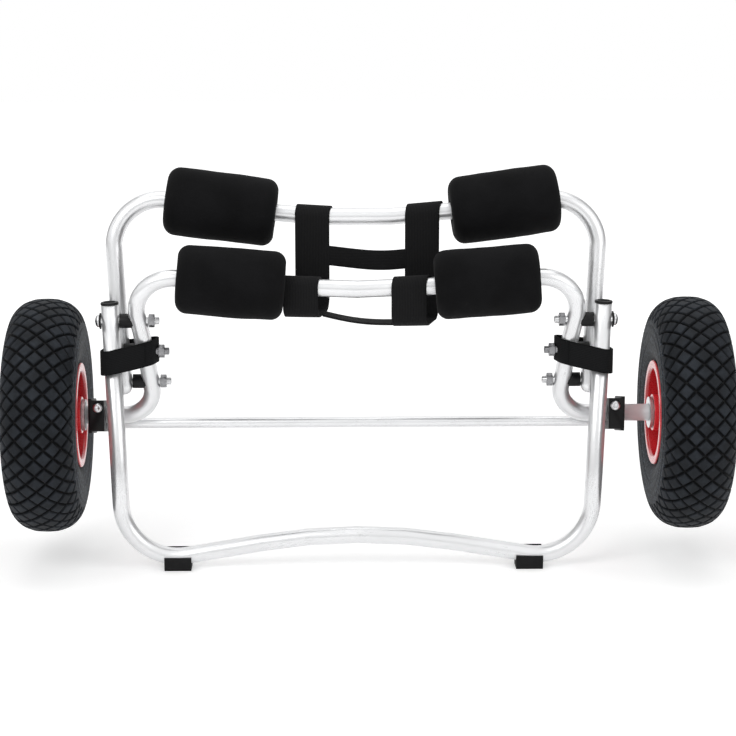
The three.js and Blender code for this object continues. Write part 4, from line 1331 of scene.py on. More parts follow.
@dataclass
class JointHardware(SubAssembly):
    """Bolts, nuts, washers, spacers, bumpers, axle clamps and their screws."""

    steel: tuple[tuple[str, float], ...] = (
        ("pivot_bolt", 0.35),
        ("pivot_nut", 0.7),
        ("stop_bolt", 0.35),
        ("stop_nut", 0.7),
        ("kickstand_bolt", 0.35),
        ("kickstand_nut", 0.7),
    )
    plastic: tuple[tuple[str, float], ...] = (
        ("pivot_spacer", 0.8),
        ("stop_bumper", 0.8),
        ("kickstand_spacer", 0.8),
        ("kickstand_washer", 0.3),
        ("axle_clamp", 1.6),
    )
    screw_head: float = 5.25 * MM
    screw_height: float = 4 * MM
    screw_shank: float = 3 * MM
    screw_seat: float = 0.3 * MM
    screw_crown: Table = ((1.0, 2.2), (0.93, 3.1), (0.8, 3.75), (0.66, 4))
    socket_radius: float = 2.6 * MM
    socket_depth: float = 2.2 * MM

    def screw(self, side: Side) -> Piece:
        """A clamp screw with a rounded head and a hex socket.

        Args:
            side: The side that it is on.

        Returns:
            The piece.
        """
        name = f"clamp_screw_{side.word}"
        lo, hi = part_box(name)
        middle = Vector(((lo.x + hi.x) / 2, lo.y + self.screw_height, (lo.z + hi.z) / 2))
        head, tall = self.screw_head, self.screw_height
        shank, seat, end = self.screw_shank, self.screw_seat, lo.y - hi.y + tall
        profile = [(0, end), (shank, end), (shank, seat), (head, seat)]
        profile += [(head * share, rise * MM) for share, rise in self.screw_crown]
        profile += [(self.socket_radius * 1.05, tall), (self.socket_radius, tall - 0.3 * MM)]
        profile += [(self.socket_radius, tall - self.socket_depth), (0, tall - self.socket_depth - 0.8 * MM)]
        piece = Bench.turn(f"{name}_finished", profile, middle, -BACK, 36)
        points = Marks.points(piece)
        away = points - np.array(middle)
        radius = np.hypot(away[:, 0], away[:, 2])
        socket = (away[:, 1] < -0.5 * MM) & (np.abs(radius - self.socket_radius) < 0.05 * MM)
        flat = Marks.six_flats(np.arctan2(away[:, 2], away[:, 0]))
        points[socket, 0] = middle.x + away[socket, 0] * flat[socket]
        points[socket, 2] = middle.z + away[socket, 2] * flat[socket]
        Marks.move(piece, points)
        return piece

    def threads(self, node: str, side: Side, radius: float = 4 * MM, pitch: float = 1.25 * MM) -> None:
        """A threaded end over the inner end of a bolt.

        Args:
            node: The bolt's node.
            side: The side that it is on.
            radius: The thread's outer radius.
            pitch: The distance from ridge to ridge.
        """
        lo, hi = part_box(node)
        inner = hi.x if side is Side.LEFT else lo.x
        middle = Vector((inner, (lo.y + hi.y) / 2, (lo.z + hi.z) / 2))
        count = 7
        profile = [(0, 0), (radius * 0.7, 0)]
        for ridge in range(count):
            start = (0.35 + ridge) * pitch
            profile += [(radius * 0.86, start), (radius * 1.02, start + pitch / 2)]
        profile += [(radius * 0.86, (0.35 + count) * pitch), (0, (0.35 + count) * pitch)]
        piece = Bench.turn(f"{node}_thread", profile, middle, RIGHT * side.value, 28)
        self.wear(piece, Finishes.ZINC, "frame")

    def build(self) -> None:
        """Builds and dresses the hardware of both sides."""
        for side in Side:
            for finish, kinds in ((Finishes.STEEL, self.steel), (Finishes.PLASTIC, self.plastic)):
                for kind, rounding in kinds:
                    node = f"{kind}_{side.word}"
                    dull = kind.endswith("_nut") or kind == "stop_bolt"
                    self.wear(Bench.softened(node, rounding * MM), Finishes.ZINC if dull else finish, "frame")
            for kind in ("pivot", "stop", "kickstand"):
                self.threads(f"{kind}_bolt_{side.word}", side)
            self.wear(self.screw(side), Finishes.STEEL, "frame", (f"clamp_screw_{side.word}",))


@dataclass(frozen=True)
class PadPlace:
    """Where a foam pad sits on its bar."""

    node: str
    body: str
    middle: Vector
    along: Vector
    half: float


@dataclass
class PadSet(SubAssembly):
    """The four foam sleeves on the arms' bars."""

    radius: float = 38.2 * MM
    front_halves: tuple[float, float] = (58.5 * MM, 57 * MM)
    rear_halves: tuple[float, float] = (61 * MM, 60 * MM)
    corner: float = 12.5 * MM
    bore: float = 9.7 * MM
    lump: float = 0.9 * MM
    lump_rates: tuple[float, float] = (26, 70)
    fold_share: float = 0.35
    pinch: float = 1.1 * MM
    soft_from: float = 16 * MM
    soft_over: float = 12 * MM
    mouth: Table = ((0, 4), (0.8, 1.6), (3, 0.5), (7, 0))
    end_dip: float = 0.3 * MM
    rear_places: tuple[float, float] = (149.5 * MM, 164 * MM)
    front_places: tuple[float, float] = (137.3 * MM, 141 * MM)

    def places(self) -> list[PadPlace]:
        """The places of the four pads."""
        tubes = TubeFrame()
        arms = (
            ("front", "frame", LAYOUT.on_front_arm, tubes.front_shoulder, tubes.front_middle),
            ("rear", "rear_arm", LAYOUT.on_rear_arm, tubes.rear_shoulder, tubes.rear_middle),
        )
        found = []
        for word, body, on_arm, shoulder, bar_middle in arms:
            front = word == "front"
            distances = self.front_places if front else self.rear_places
            halves = self.front_halves if front else self.rear_halves
            for side, distance, half in zip(Side, distances, halves):
                end = on_arm(side.value * shoulder[0], shoulder[1])
                start = on_arm(0, bar_middle)
                along = (end - start).normalized()
                middle = start + along * (distance / abs(along.x))
                found.append(PadPlace(f"{word}_pad_{side.word}", body, middle, along, half))
        return found

    def profile(self, half: float) -> Profile:
        """A pad's outline, as radius and distance along the bar, with soft rounded ends.

        Args:
            half: Half of the pad's length.

        Returns:
            The outline.
        """
        corner, bore = self.corner, self.bore
        end = [(bore + outward, half - back) for outward, back in millimetres(self.mouth)]
        end += [(self.radius - corner, half - self.end_dip), *quarter(self.radius, half, corner, 8)]
        wall = [(self.radius, along) for along in np.linspace(half - corner, corner - half, 16)]
        return end + wall + [(radius, -along) for radius, along in reversed(end)] + [end[0]]

    def pad(self, place: PadPlace, seed: float) -> Piece:
        """A foam sleeve with the shallow lumps of soft foam.

        Args:
            place: Where it sits.
            seed: Moves the lumps, so that no two pads are alike.

        Returns:
            The piece.
        """
        profile = self.profile(place.half)
        piece = Bench.turn(f"{place.node}_foam", profile, place.middle, place.along, 72, math.radians(60))
        points = Marks.points(piece)
        middle, along = np.array(place.middle), np.array(place.along)
        away = points - middle
        reach = away @ along
        outward = away - reach[:, None] * along
        radius = np.linalg.norm(outward, axis=1)
        soft = np.clip((radius - self.soft_from) / self.soft_over, 0, 1)
        shift = Vector((seed, 2 * seed, -seed))
        coarse, fine = self.lump_rates
        lumps = np.array([noise.noise(Vector(point) * coarse + shift) for point in points])
        folds = np.array([noise.noise(Vector(point) * fine - shift) for point in points])
        swell = self.lump * (lumps + self.fold_share * folds - self.fold_share) * soft
        pinch = self.pinch * (np.abs(reach) / place.half) ** 3 * soft
        unit = outward / np.maximum(radius, MM)[:, None]
        points += unit * (swell - pinch)[:, None]
        points += along * (np.sign(reach) * lumps * 0.5 * MM * soft)[:, None]
        Marks.move(piece, points)
        return piece or piece

    def build(self) -> None:
        """Builds and dresses the pads."""
        for index, place in enumerate(self.places()):
            self.wear(self.pad(place, 3.7 * index + 1.3), Finishes.FOAM, place.body, (place.node,))


class Cloth:
    """Flat strips of webbing."""

    @staticmethod
    def across(width: float, cuts: int, direction: Vector = RIGHT) -> None:
        """Widens the line of edges that is open in edit mode into a strip.

        Args:
            width: The strip's width.
            cuts: The number of rows of faces.
            direction: The direction in which it widens.
        """
        bpy.ops.mesh.select_all(action="SELECT")
        for _ in range(cuts):
            Bench.push(direction * (width / cuts))
        bpy.ops.object.mode_set(mode="OBJECT")

    @staticmethod
    def mark(piece: Piece, route: Route, across: np.ndarray) -> None:
        """Writes the attribute cloth: the distances along and across the strip.

        Args:
            piece: The strip.
            route: The line that it follows.
            across: The distance of each vertex from the strip's middle.
        """
        distance, _, _ = Marks.measured(piece, route)
        Marks.vector(piece, "cloth", np.stack([distance, across, np.zeros(len(across))], axis=1))

    @staticmethod
    def thicken(piece: Piece, thickness: float) -> None:
        """Gives a strip its thickness and a soft woven edge.

        Args:
            piece: The strip.
            thickness: Its thickness.
        """
        Bench.finish(piece, "SOLIDIFY", thickness=thickness, offset=0.0, use_rim=True)
        edge = {"width": 0.5 * MM, "segments": 2, "limit_method": "ANGLE", "angle_limit": math.radians(60)}
        Bench.finish(piece, "BEVEL", **edge)
        Bench.take(piece)
        bpy.ops.object.mode_set(mode="EDIT")
        Bench.close(piece, math.radians(50))


@dataclass(frozen=True)
class BeltPlace:
    """Where a long belt crosses the two bars."""

    name: str
    at_rear: float
    at_front: float
    bottom: float


@dataclass
class Harness(SubAssembly):
    """Two long belts between the bars, and the two bands that join them."""

    width: float = 38 * MM
    thickness: float = 1.8 * MM
    ease: float = 1.0 * MM
    fold: float = 14 * MM
    belts: tuple[BeltPlace, ...] = (
        BeltPlace("left", -46.6 * MM, -59.5 * MM, 119 * MM),
        BeltPlace("right", 75.5 * MM, 58.5 * MM, 109 * MM),
    )
    rear_band_heights: tuple[float, float] = (178.5 * MM, 174.5 * MM)
    rear_band: tuple[float, float] = (22 * MM, 3 * MM)
    front_band: tuple[float, float] = (30 * MM, 3.5 * MM)
    rear_dip: float = 3.0 * MM
    band_points: int = 25
    blend_start: tuple[float, float] = (-6 * MM, -10 * MM)
    blend_end: tuple[float, float] = (22 * MM, 8 * MM)

    @staticmethod
    def bar_point(route: Route, x: float) -> Vector:
        """The middle of a bar at a distance from the frame's middle.

        Args:
            route: The arm's route, which runs from left to right.
            x: The distance from the frame's middle.

        Returns:
            The point, in the part's frame.
        """
        floor = LAYOUT.axle_height + LAYOUT.stop_height
        bar = [point for point in route.stations() if point.z > floor]
        x += LAYOUT.frame_middle
        for before, after in zip(bar, bar[1:]):
            if before.x <= x < after.x:
                return before.lerp(after, (x - before.x) / (after.x - before.x))
        raise ValueError("the belt is beside the bar")

    def bars(self, place: BeltPlace) -> tuple[Vector, Vector, float]:
        """The two bar points of a belt, and its slant between them.

        Args:
            place: Where the belt crosses the bars.

        Returns:
            The rear point, the front point, and the change of X with Y.
        """
        tubes = TubeFrame()
        rear = self.bar_point(tubes.rear_route(), place.at_rear)
        front = self.bar_point(tubes.front_route(), place.at_front)
        return rear, front, (front.x - rear.x) / (front.y - rear.y)

    @property
    def wrap(self) -> float:
        """The distance of a belt's middle from a bar's middle."""
        return LAYOUT.tube_radius + self.ease + self.thickness / 2

    def belt_route(self, rear: Vector, front: Vector, bottom: float) -> Route:
        """A belt's line from the rear bar, down, up and over the front bar, at X 0.

        Args:
            rear: The point on the rear bar.
            front: The point on the front bar.
            bottom: The height of its lowest run above the axle.

        Returns:
            The route.
        """
        wrap, low = self.wrap, LAYOUT.axle_height + bottom
        hangs, rises = rear.y - wrap, front.y - wrap
        corners = [
            (rear.y + wrap, rear.z - LAYOUT.tube_radius, 0.0),
            (rear.y + wrap, rear.z + wrap, wrap),
            (hangs, rear.z + wrap, wrap),
            (hangs, low, self.fold),
            (rises, low, self.fold),
            (rises, front.z + wrap, wrap),
            (front.y + wrap, front.z + wrap, wrap),
            (front.y + wrap, front.z - LAYOUT.tube_radius, 0.0),
        ]
        return Route([Corner(Vector((0, y, z)), radius) for y, z, radius in corners])

    def subdivided(self, route: Route, longest: float = 8 * MM) -> Route:
        """The same route with its long runs cut up, so that cloth can ripple.

        Args:
            route: The route.
            longest: The longest run.

        Returns:
            The route.
        """
        legs: list[Run | Bend] = []
        for leg in route.legs:
            count = 1 if isinstance(leg, Bend) else max(1, math.ceil((leg.end - leg.start).length / longest))
            if count == 1:
                legs.append(leg)
                continue
            marks = [leg.start.lerp(leg.end, index / count) for index in range(count + 1)]
            legs += [Run(start, end) for start, end in zip(marks, marks[1:])]
        route.legs = legs
        return route

    def belt(self, place: BeltPlace, seed: float) -> Piece:
        """A long belt.

        Args:
            place: Where it crosses the bars.
            seed: Moves its ripples.

        Returns:
            The piece.
        """
        rear, front, slant = self.bars(place)
        route = self.subdivided(self.belt_route(rear, front, place.bottom))
        edge = route.legs[0].start - RIGHT * self.width / 2
        piece = Bench.point(f"harness_belt_{place.name}_webbing", edge)
        Bench.follow(route)
        Cloth.across(self.width, 8)
        points = Marks.points(piece)
        Cloth.mark(piece, route, points[:, 0])
        middle = np.array([0, (rear.y + front.y) / 2, front.z])
        free = np.clip((rear.z - points[:, 2]) / (30 * MM), 0, 1) * (points[:, 2] < front.z)
        ripple = np.array([noise.noise(Vector((seed, point[1] * 22, point[2] * 22))) for point in points])
        curl = 0.8 * MM * (2 * points[:, 0] / self.width) ** 2
        inward = np.sign(middle[1] - points[:, 1])
        points[:, 1] += inward * free * (curl + 0.9 * MM * ripple)
        points[:, 2] += points[:, 0] * self.lean(points, rear, front)
        points[:, 0] += slant * (points[:, 1] - rear.y) + rear.x
        Marks.move(piece, points)
        Cloth.thicken(piece, self.thickness)
        route.length
        return piece

    def lean(self, points: np.ndarray, rear: Vector, front: Vector, reach: float = 45 * MM) -> np.ndarray:
        """How much a belt leans with the bars that it wraps, and less further down.

        Args:
            points: The belt's points, with the belt's middle at X 0.
            rear: The point on the rear bar.
            front: The point on the front bar.
            reach: How far below a bar the lean is lost.

        Returns:
            The rise of each point with X.
        """
        tubes = TubeFrame()
        found = np.zeros(len(points))
        near_front = points[:, 1] < (rear.y + front.y) / 2
        wraps = ((rear, tubes.rear_route(), ~near_front), (front, tubes.front_route(), near_front))
        for at, route, here in wraps:
            x = at.x - LAYOUT.frame_middle
            before, after = (self.bar_point(route, x + step) for step in (-self.width / 2, self.width / 2))
            slope = (after.z - before.z) / (after.x - before.x)
            share = np.clip((points[:, 2] - (at.z - LAYOUT.tube_radius - reach)) / reach, 0, 1)
            found = np.where(here, slope * share, found)
        return found

    def edges(self, y_left: float, y_right: float) -> tuple[float, float]:
        """The inner edges of the two belts at their own Y.

        Args:
            y_left: The Y on the left belt.
            y_right: The Y on the right belt.

        Returns:
            The two X.
        """
        found = []
        for place, y, sign in zip(self.belts, (y_left, y_right), (1, -1)):
            rear, _, slant = self.bars(place)
            found.append(slant * (y - rear.y) + rear.x + sign * (self.width / 2 - 1.5 * MM))
        return found[0], found[1]

    def band(self, name: str, points: list[Vector], width: float, direction: Vector) -> Piece:
        """A cross band along a line of points.

        Args:
            name: The piece's name.
            points: The middle line.
            width: The band's width.
            direction: The direction across it.

        Returns:
            The piece.
        """
        piece = Bench.point(name, points[0] - direction * width / 2)
        for before, after in zip(points, points[1:]):
            Bench.push(after - before)
        Cloth.across(width, 4, direction)
        route = Route([Corner(points[0]), Corner(points[-1])])
        across = (Marks.points(piece) - np.array(points[0])) @ np.array(direction)
        Cloth.mark(piece, route, across)
        Cloth.thicken(piece, self.thickness)
        length = sum((b - a).length for a, b in zip(points, points[1:]))
        return piece

    def bands(self) -> tuple[Piece, Piece]:
        """The rear band, which hangs upright, and the front band, which lies flat."""
        width, wave = self.rear_band
        (rear, front, _), (other, other_front, _) = (self.bars(place) for place in self.belts)
        left, right = rear.y - self.wrap, other.y - self.wrap
        x_from, x_to = self.edges(left, right)
        upright = []
        for share in np.linspace(0, 1, self.band_points):
            swing = wave * math.sin(2 * math.pi * share)
            dip = self.rear_dip * math.sin(math.pi * share)
            y = left + (right - left) * share + swing
            start, end = self.rear_band_heights
            z = LAYOUT.axle_height + start + (end - start) * share - dip
            upright.append(Vector((x_from + (x_to - x_from) * share, y, z)))
        width_low, sag = self.front_band
        middle = (left + front.y - self.wrap) / 2
        x_from, x_to = self.edges(middle, middle)
        start, end = (place.bottom for place in self.belts)
        flat = []
        for share in np.linspace(0, 1, self.band_points):
            low = LAYOUT.axle_height + start + (end - start) * share - sag * math.sin(math.pi * share)
            flat.append(Vector((x_from + (x_to - x_from) * share, middle, low)))
        rear_piece = self.band("harness_rear_band_webbing", upright, width, UP)
        return rear_piece, self.band("harness_front_band_webbing", flat, width_low, BACK)

    def build(self) -> None:
        """Builds and dresses the harness."""
        pieces = []
        for index, place in enumerate(self.belts):
            belt = self.belt(place, 5.1 * index + 0.6)
            self.wear(belt, Finishes.WEBBING, None, (f"harness_belt_{place.name}",))
            pieces.append(belt)
        rear_band, front_band = self.bands()
        self.wear(rear_band, Finishes.WEBBING, None, ("harness_rear_band",))
        self.wear(front_band, Finishes.WEBBING, None, ("harness_front_band",))
        rear, front, _ = self.bars(self.belts[0])
        for piece in (*pieces, rear_band, front_band):
            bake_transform(piece)


@dataclass
class LegStraps(SubAssembly):
    """The hook-and-loop straps round the folded legs."""

    height: float = 27 * MM
    thickness: float = 2 * MM
    middle: float = 72.5 * MM
    slope: float = 0.186
    ease: float = 1.2 * MM
    overlap: float = 34 * MM

    def centres(self, side: Side) -> list[Vector]:
        """The middles of the three legs, at the strap's lower and upper edge."""
        tubes = TubeFrame()
        legs = (
            (LAYOUT.on_kickstand, tubes.kickstand_foot, tubes.kickstand_top),
            (LAYOUT.on_rear_arm, tubes.rear_pivot, tubes.rear_shoulder),
            (LAYOUT.on_front_arm, (tubes.front_stub, 0), tubes.front_knee),
        )
        found = []
        for edge in (-0.5, 0.5):
            height = self.middle + edge * self.height
            for on_leg, lower, upper in legs:
                share = (height - lower[1]) / (upper[1] - lower[1])
                width = lower[0] + (upper[0] - lower[0]) * share
                found.append(on_leg(side.value * width, height))
        return found

    def loop(self, side: Side, radius: float, count: int = 72) -> list[np.ndarray]:
        """The strap's line as seen from above, from its free end's place round to it again.

        Args:
            side: The side that it is on.
            radius: The distance of the line from the legs' middles.
            count: The number of points.

        Returns:
            The points, evenly spaced, as pairs of X and Y.
        """
        centres = np.array([(centre.x, centre.y) for centre in self.centres(side)])
        turns = np.linspace(0, 2 * math.pi, 360, endpoint=False)
        outward = np.stack([np.cos(turns), np.sin(turns)], axis=1)
        support = np.argmax(centres @ outward.T, axis=0)
        line = centres[support] + radius * outward
        steps = np.linalg.norm(np.roll(line, -1, axis=0) - line, axis=1)
        travel = np.concatenate([[0], np.cumsum(steps)])
        closed = np.vstack([line, line[:1]])
        marks = np.linspace(0, travel[-1], count, endpoint=False)
        even = np.stack([np.interp(marks, travel, closed[:, column]) for column in (0, 1)], axis=1)
        first = int(np.argmin(np.abs(even[:, 0] - even[:, 0].mean()) + 9 * (even[:, 1] - even[:, 1].min())))
        even = np.roll(even, -first, axis=0)
        return list(even)

    def strap(self, side: Side) -> Piece:
        """A strap that laps over itself in front.

        Args:
            side: The side that it is on.

        Returns:
            The piece.
        """
        inner = self.loop(side, LAYOUT.tube_radius + self.ease + self.thickness / 2)
        middle = np.mean(inner, axis=0)
        length = sum(np.linalg.norm(b - a) for a, b in zip(inner, inner[1:] + inner[:1]))
        extra = math.ceil(self.overlap / length * len(inner))
        line = inner + inner[:extra]
        if side is Side.RIGHT:
            line = [inner[0]] + inner[:0:-1] + [inner[0]] + inner[: -extra : -1]
        points = []
        for index, point in enumerate(line):
            lift = np.clip((index - len(inner) + 9) / 8, 0, 1) * (self.thickness + 0.2 * MM)
            outward = (point - middle) / np.linalg.norm(point - middle)
            x, y = point + outward * lift
            points.append(Vector((x, y, LAYOUT.axle_height)))
        name = f"leg_strap_{side.word}"
        piece = Bench.point(f"{name}_pile", points[0])
        for before, after in zip(points, points[1:]):
            Bench.push(after - before)
        Cloth.across(self.height, 6, UP)
        places = Marks.points(piece)
        travel = np.concatenate([[0], np.cumsum([(b - a).length for a, b in zip(points, points[1:])])])
        order = np.argmin(
            np.linalg.norm(places[:, None, :2] - np.array([p.to_2d() for p in points])[None], axis=2), axis=1
        )
        across = places[:, 2] - LAYOUT.axle_height - self.height / 2
        Marks.vector(piece, "cloth", np.stack([travel[order], across, np.zeros(len(across))], axis=1))
        legs = self.centres(side)
        outer = max(abs(leg.x - LAYOUT.frame_middle) for leg in legs)
        lowest = min(abs(leg.x - LAYOUT.frame_middle) for leg in legs)
        pivot = LAYOUT.frame_middle + side.value * (outer + lowest) / 2
        rise = -side.value * self.slope * (places[:, 0] - pivot)
        places[:, 2] += self.middle - self.height / 2 + rise
        Marks.move(piece, places)
        Cloth.thicken(piece, self.thickness)
        return piece

    def build(self) -> None:
        """Builds and dresses the straps."""
        for side in Side:
            name = f"leg_strap_{side.word}"
            self.wear(self.strap(side), Finishes.PILE, "frame", (name,))


@dataclass
class Wheel(SubAssembly):
    """A wheel: tyre, two rim halves, bearings, washers, rim bolts, valve and pin."""

    side: Side = Side.LEFT
    columns: float = 2.5
    column_width: float = 21 * MM
    cells_round: int = 40
    cell_steps: int = 16
    groove_depth: float = 2.7 * MM
    skin: Table = (
        (130.0, 0.0), (129.7, 7.2), (128.7, 14.3), (124.0, 25.8), (114.3, 35.2), (101.0, 39.6), (87.7, 40.45),
        (75.1, 39.3), (66.5, 37.6), (62.5, 36.2), (60.6, 35.2),
    )
    lining: Table = (
        (60.1, 34.7), (51.6, 34.7), (51.6, 25.7), (60.1, 25.7), (76.6, 30.6), (97.0, 34.0), (113.3, 27.2),
        (120.3, 16.3), (122.5, 0.0),
    )
    rim_seat: float = 51.3 * MM
    rim_flange: float = 58.5 * MM
    rim_half: float = 38 * MM
    rim_wall: float = 2.7 * MM
    hub_radius: float = 17.8 * MM
    hub_wall: float = 2.7 * MM
    reach_inner: float = 38 * MM
    reach_outer: float = 28 * MM
    bearing_radius: float = 17.5 * MM
    bolt_circle: float = 33 * MM
    mating_gap: float = 0.15 * MM
    web_face: float = 2.7 * MM
    dish: Table = ((43, 0), (41, 1.8), (27, 1.8), (25, 0))
    rim_bends: tuple[float, ...] = (0, 1.2, 1, 1.2, 1.3, 3, 4.5, 1.2, 1.2, 1.2, 1, 1, 0.7, 0.3, 0.3, 0)
    bearing_shell: Table = ((0, 11), (0, 1.2), (0.6, 0.5), (1.2, 0.3), (2.4, 0.3), (2.6, 0.8))
    bearing_bore: Table = ((2.6, 0.8), (2.4, 0), (0.3, 0), (0, 0.4), (0, 11))
    stub_play: float = 0.3 * MM
    washer_gap: float = 0.3 * MM
    washer_edge: float = 0.4 * MM
    hex_band: tuple[float, float] = (4 * MM, 5.1 * MM)
    hex_swell: float = 1.08
    valve_turn: float = math.radians(200)
    valve_foot: tuple[float, float] = (0.5 * MM, 15 * MM)
    valve_lean: float = 0.45
    wall_from: tuple[float, float] = (35 * MM, 38 * MM)
    wall_steps: int = 27
    section_middle: tuple[float, float] = (92 * MM, 0)
    section_radius: float = 40.0
    wall_rings: Table = ((3, 0.7), (8, 0.6), (9, 0.6), (15, 0.5))
    bolt_washer: Table = ((0, 4.6), (6.4, 4.6), (6.4, 5.8), (5, 5.9))
    bolt_head: Table = ((4.9, 9.0), (4.2, 9.6), (0, 9.6))
    bolt_nut: Table = ((5, 9.4), (4.2, 10.2), (3, 10.2), (3, 13.6), (2.6, 14.0), (0, 14.0))
    valve_stem: Table = ((0, 0), (5.4, 0), (5.4, 1.2), (4, 2.4), (3.4, 6), (3.1, 13), (0, 13))
    valve_cap: Table = ((0, 12.4), (3.3, 12.4), (3.5, 13), (3.5, 19), (2.9, 20), (0, 20))

    def __post_init__(self) -> None:
        """Settles the wheel's middle and its body."""
        self.middle = Vector((self.side.value * LAYOUT.wheel_middle, 0, LAYOUT.axle_height))
        self.outward = RIGHT * self.side.value
        self.body = f"wheel_{self.side.word}"

    def curve(self) -> np.ndarray:
        """The skin's outline as a smooth curve of many points, as radius and distance outwards."""
        knots = np.array(self.skin) * MM
        padded = np.vstack([knots[1] * (1, -1), knots, 2 * knots[-1] - knots[-2]])
        points = []
        for index in range(1, len(padded) - 2):
            a, b, c, d = padded[index - 1 : index + 3]
            for t in np.linspace(0, 1, 60, endpoint=False):
                bent = (2 * a - 5 * b + 4 * c - d) * t**2 + (3 * b - a - 3 * c + d) * t**3
                points.append(0.5 * (2 * b + (c - a) * t + bent))
        return np.array(points + [padded[-2]])

    def skin_points(self) -> tuple[np.ndarray, int]:
        """The skin's outline, with evenly spaced points over the tread.

        Returns:
            The points from the crown to the bead, and how many of them carry tread.
        """
        curve = self.curve()
        travel = np.concatenate([[0], np.cumsum(np.linalg.norm(np.diff(curve, axis=0), axis=1))])
        tread = int(self.columns * self.cell_steps)
        pitch = self.column_width / self.cell_steps
        wall = np.linspace(tread * pitch, travel[-1], self.wall_steps)[1:]
        marks = np.concatenate([np.arange(tread + 1) * pitch, wall])
        points = np.stack([np.interp(marks, travel, curve[:, column]) for column in (0, 1)], axis=1)
        for ring, depth in self.wall_rings:
            points[tread + ring] -= (points[tread + ring] - self.section_middle) / self.section_radius * depth
        return points, tread

    def tyre(self) -> Piece:
        """The tyre, with its lattice of grooves pressed in."""
        skin, tread = self.skin_points()
        lining = np.array(self.lining) * MM
        half = [tuple(point) for point in np.vstack([skin[1:], lining])]
        other = [(radius, -along) for radius, along in reversed(half[:-1])]
        profile = [tuple(skin[0])] + half + other + [tuple(skin[0])]
        steps = self.cells_round * self.cell_steps
        name = f"{self.body}_tyre"
        piece = Bench.turn(f"{name}_tread", profile, self.middle, self.outward, steps, math.radians(32))
        points = Marks.points(piece)
        away = points - np.array(self.middle)
        radius = np.hypot(away[:, 1], away[:, 2])
        start = self.outward.orthogonal().normalized()
        side = self.outward.cross(start)
        angle = np.arctan2(away @ np.array(side), away @ np.array(start)) % (2 * math.pi)
        outline = skin[: tread + 1]
        reach = np.abs(away[:, 0])
        gaps = np.hypot(radius[:, None] - outline[None, :, 0], reach[:, None] - outline[None, :, 1])
        nearest = np.argmin(gaps, axis=1)
        on_tread = (gaps[np.arange(len(points)), nearest] < 0.05 * MM) & (nearest < tread)
        across = nearest * np.sign(away[:, 0])
        around = np.rint(angle / (2 * math.pi) * steps)
        phases = [np.abs((around + sign * across) % self.cell_steps) for sign in (1, -1)]
        floor = on_tread & np.any([(phase <= 1) | (phase >= self.cell_steps - 1) for phase in phases], axis=0)
        # Marks the groove floors, which the tyre's finish paints darker as painted shade.
        Marks.number(piece, "groove", floor.astype(float))
        # Marks the walls, which the tyre's finish paints paler as painted sheen with painted glints.
        near, far = self.wall_from
        Marks.number(piece, "wall", np.clip((reach - near) / (far - near), 0, 1) * ~on_tread)
        self.press(piece, floor)
        return piece

    def press(self, piece: Piece, floor: np.ndarray) -> None:
        """Sinks the groove floors along their normals.

        Args:
            piece: The tyre.
            floor: Which vertices are on a groove's floor.
        """
        Bench.take(piece)
        Bench.pick(piece, floor)
        bpy.ops.transform.shrink_fatten(value=-self.groove_depth, use_even_offset=False)
        bpy.ops.object.mode_set(mode="OBJECT")
        bpy.ops.object.shade_smooth_by_angle(angle=math.radians(32))

    def rim_profile(self, reach: float) -> Profile:
        """The outline of a pressed rim half with rolled edges.

        Args:
            reach: How far the hub reaches from the wheel's middle.

        Returns:
            The outline as radius and distance from the wheel's middle.
        """
        half, gap, web = self.rim_half, self.mating_gap, self.web_face
        seat, under, inside = self.rim_seat, self.rim_seat - self.rim_wall, half - self.rim_wall
        bore, hub = self.hub_radius, self.hub_radius + self.hub_wall
        seam = ((bore + seat) / 2, gap)
        places = [seam, (seat, gap), (seat, inside), (self.rim_flange, inside), (self.rim_flange, half)]
        places += [(under, half), (under, web)]
        places += [(radius, web + rise) for radius, rise in millimetres(self.dish)]
        places += [(hub, web), (hub, reach), (bore, reach), (bore, gap), seam]
        bends = [bend * MM for bend in self.rim_bends]
        corners = [Corner(Vector((x, 0, z)), bend) for (x, z), bend in zip(places, bends, strict=True)]
        return [(point.x, point.z) for point in Route(corners).stations(math.radians(15))]

    def rim(self, word: str, reach: float, toward: Vector) -> Piece:
        """One pressed rim half.

        Args:
            word: inner or outer.
            reach: How far its hub reaches.
            toward: The direction that its dish opens to.

        Returns:
            The piece.
        """
        name = f"{self.body}_rim_{word}_pressed"
        return Bench.turn(name, self.rim_profile(reach), self.middle, toward, 96, math.radians(50))

    def bearing(self, word: str, face: float, toward: Vector) -> Piece:
        """A sealed bearing in the hub's mouth.

        Args:
            word: inner or outer.
            face: How far the hub reaches, where the bearing ends.
            toward: The direction out of the hub.

        Returns:
            The piece.
        """
        outer, bore = self.bearing_radius, LAYOUT.tube_radius + self.stub_play
        shell = [(outer - inward, face - back) for inward, back in millimetres(self.bearing_shell)]
        inner = [(bore + outward, face - back) for outward, back in millimetres(self.bearing_bore)]
        profile = [inner[-1], *shell, *inner]
        return Bench.turn(f"{self.body}_bearing_{word}_sealed", profile, self.middle, toward, 48)

    def washer(self, word: str, reach: float, thick: float, outer: float, toward: Vector) -> Piece:
        """A washer on the stub beside the hub.

        Args:
            word: inner or outer.
            reach: How far the hub reaches.
            thick: The washer's thickness.
            outer: The washer's outer radius.
            toward: The direction out of the hub.

        Returns:
            The piece.
        """
        bore, start, edge = LAYOUT.tube_radius + self.stub_play, reach + self.washer_gap, self.washer_edge
        end = start + thick
        profile = [(bore, start), (outer - edge, start), (outer, start + edge), (outer, end - edge)]
        profile += [(outer - edge, end), (bore + edge, end), (bore, end - edge), (bore, start)]
        return Bench.turn(f"{self.body}_washer_{word}_turned", profile, self.middle, toward, 48)

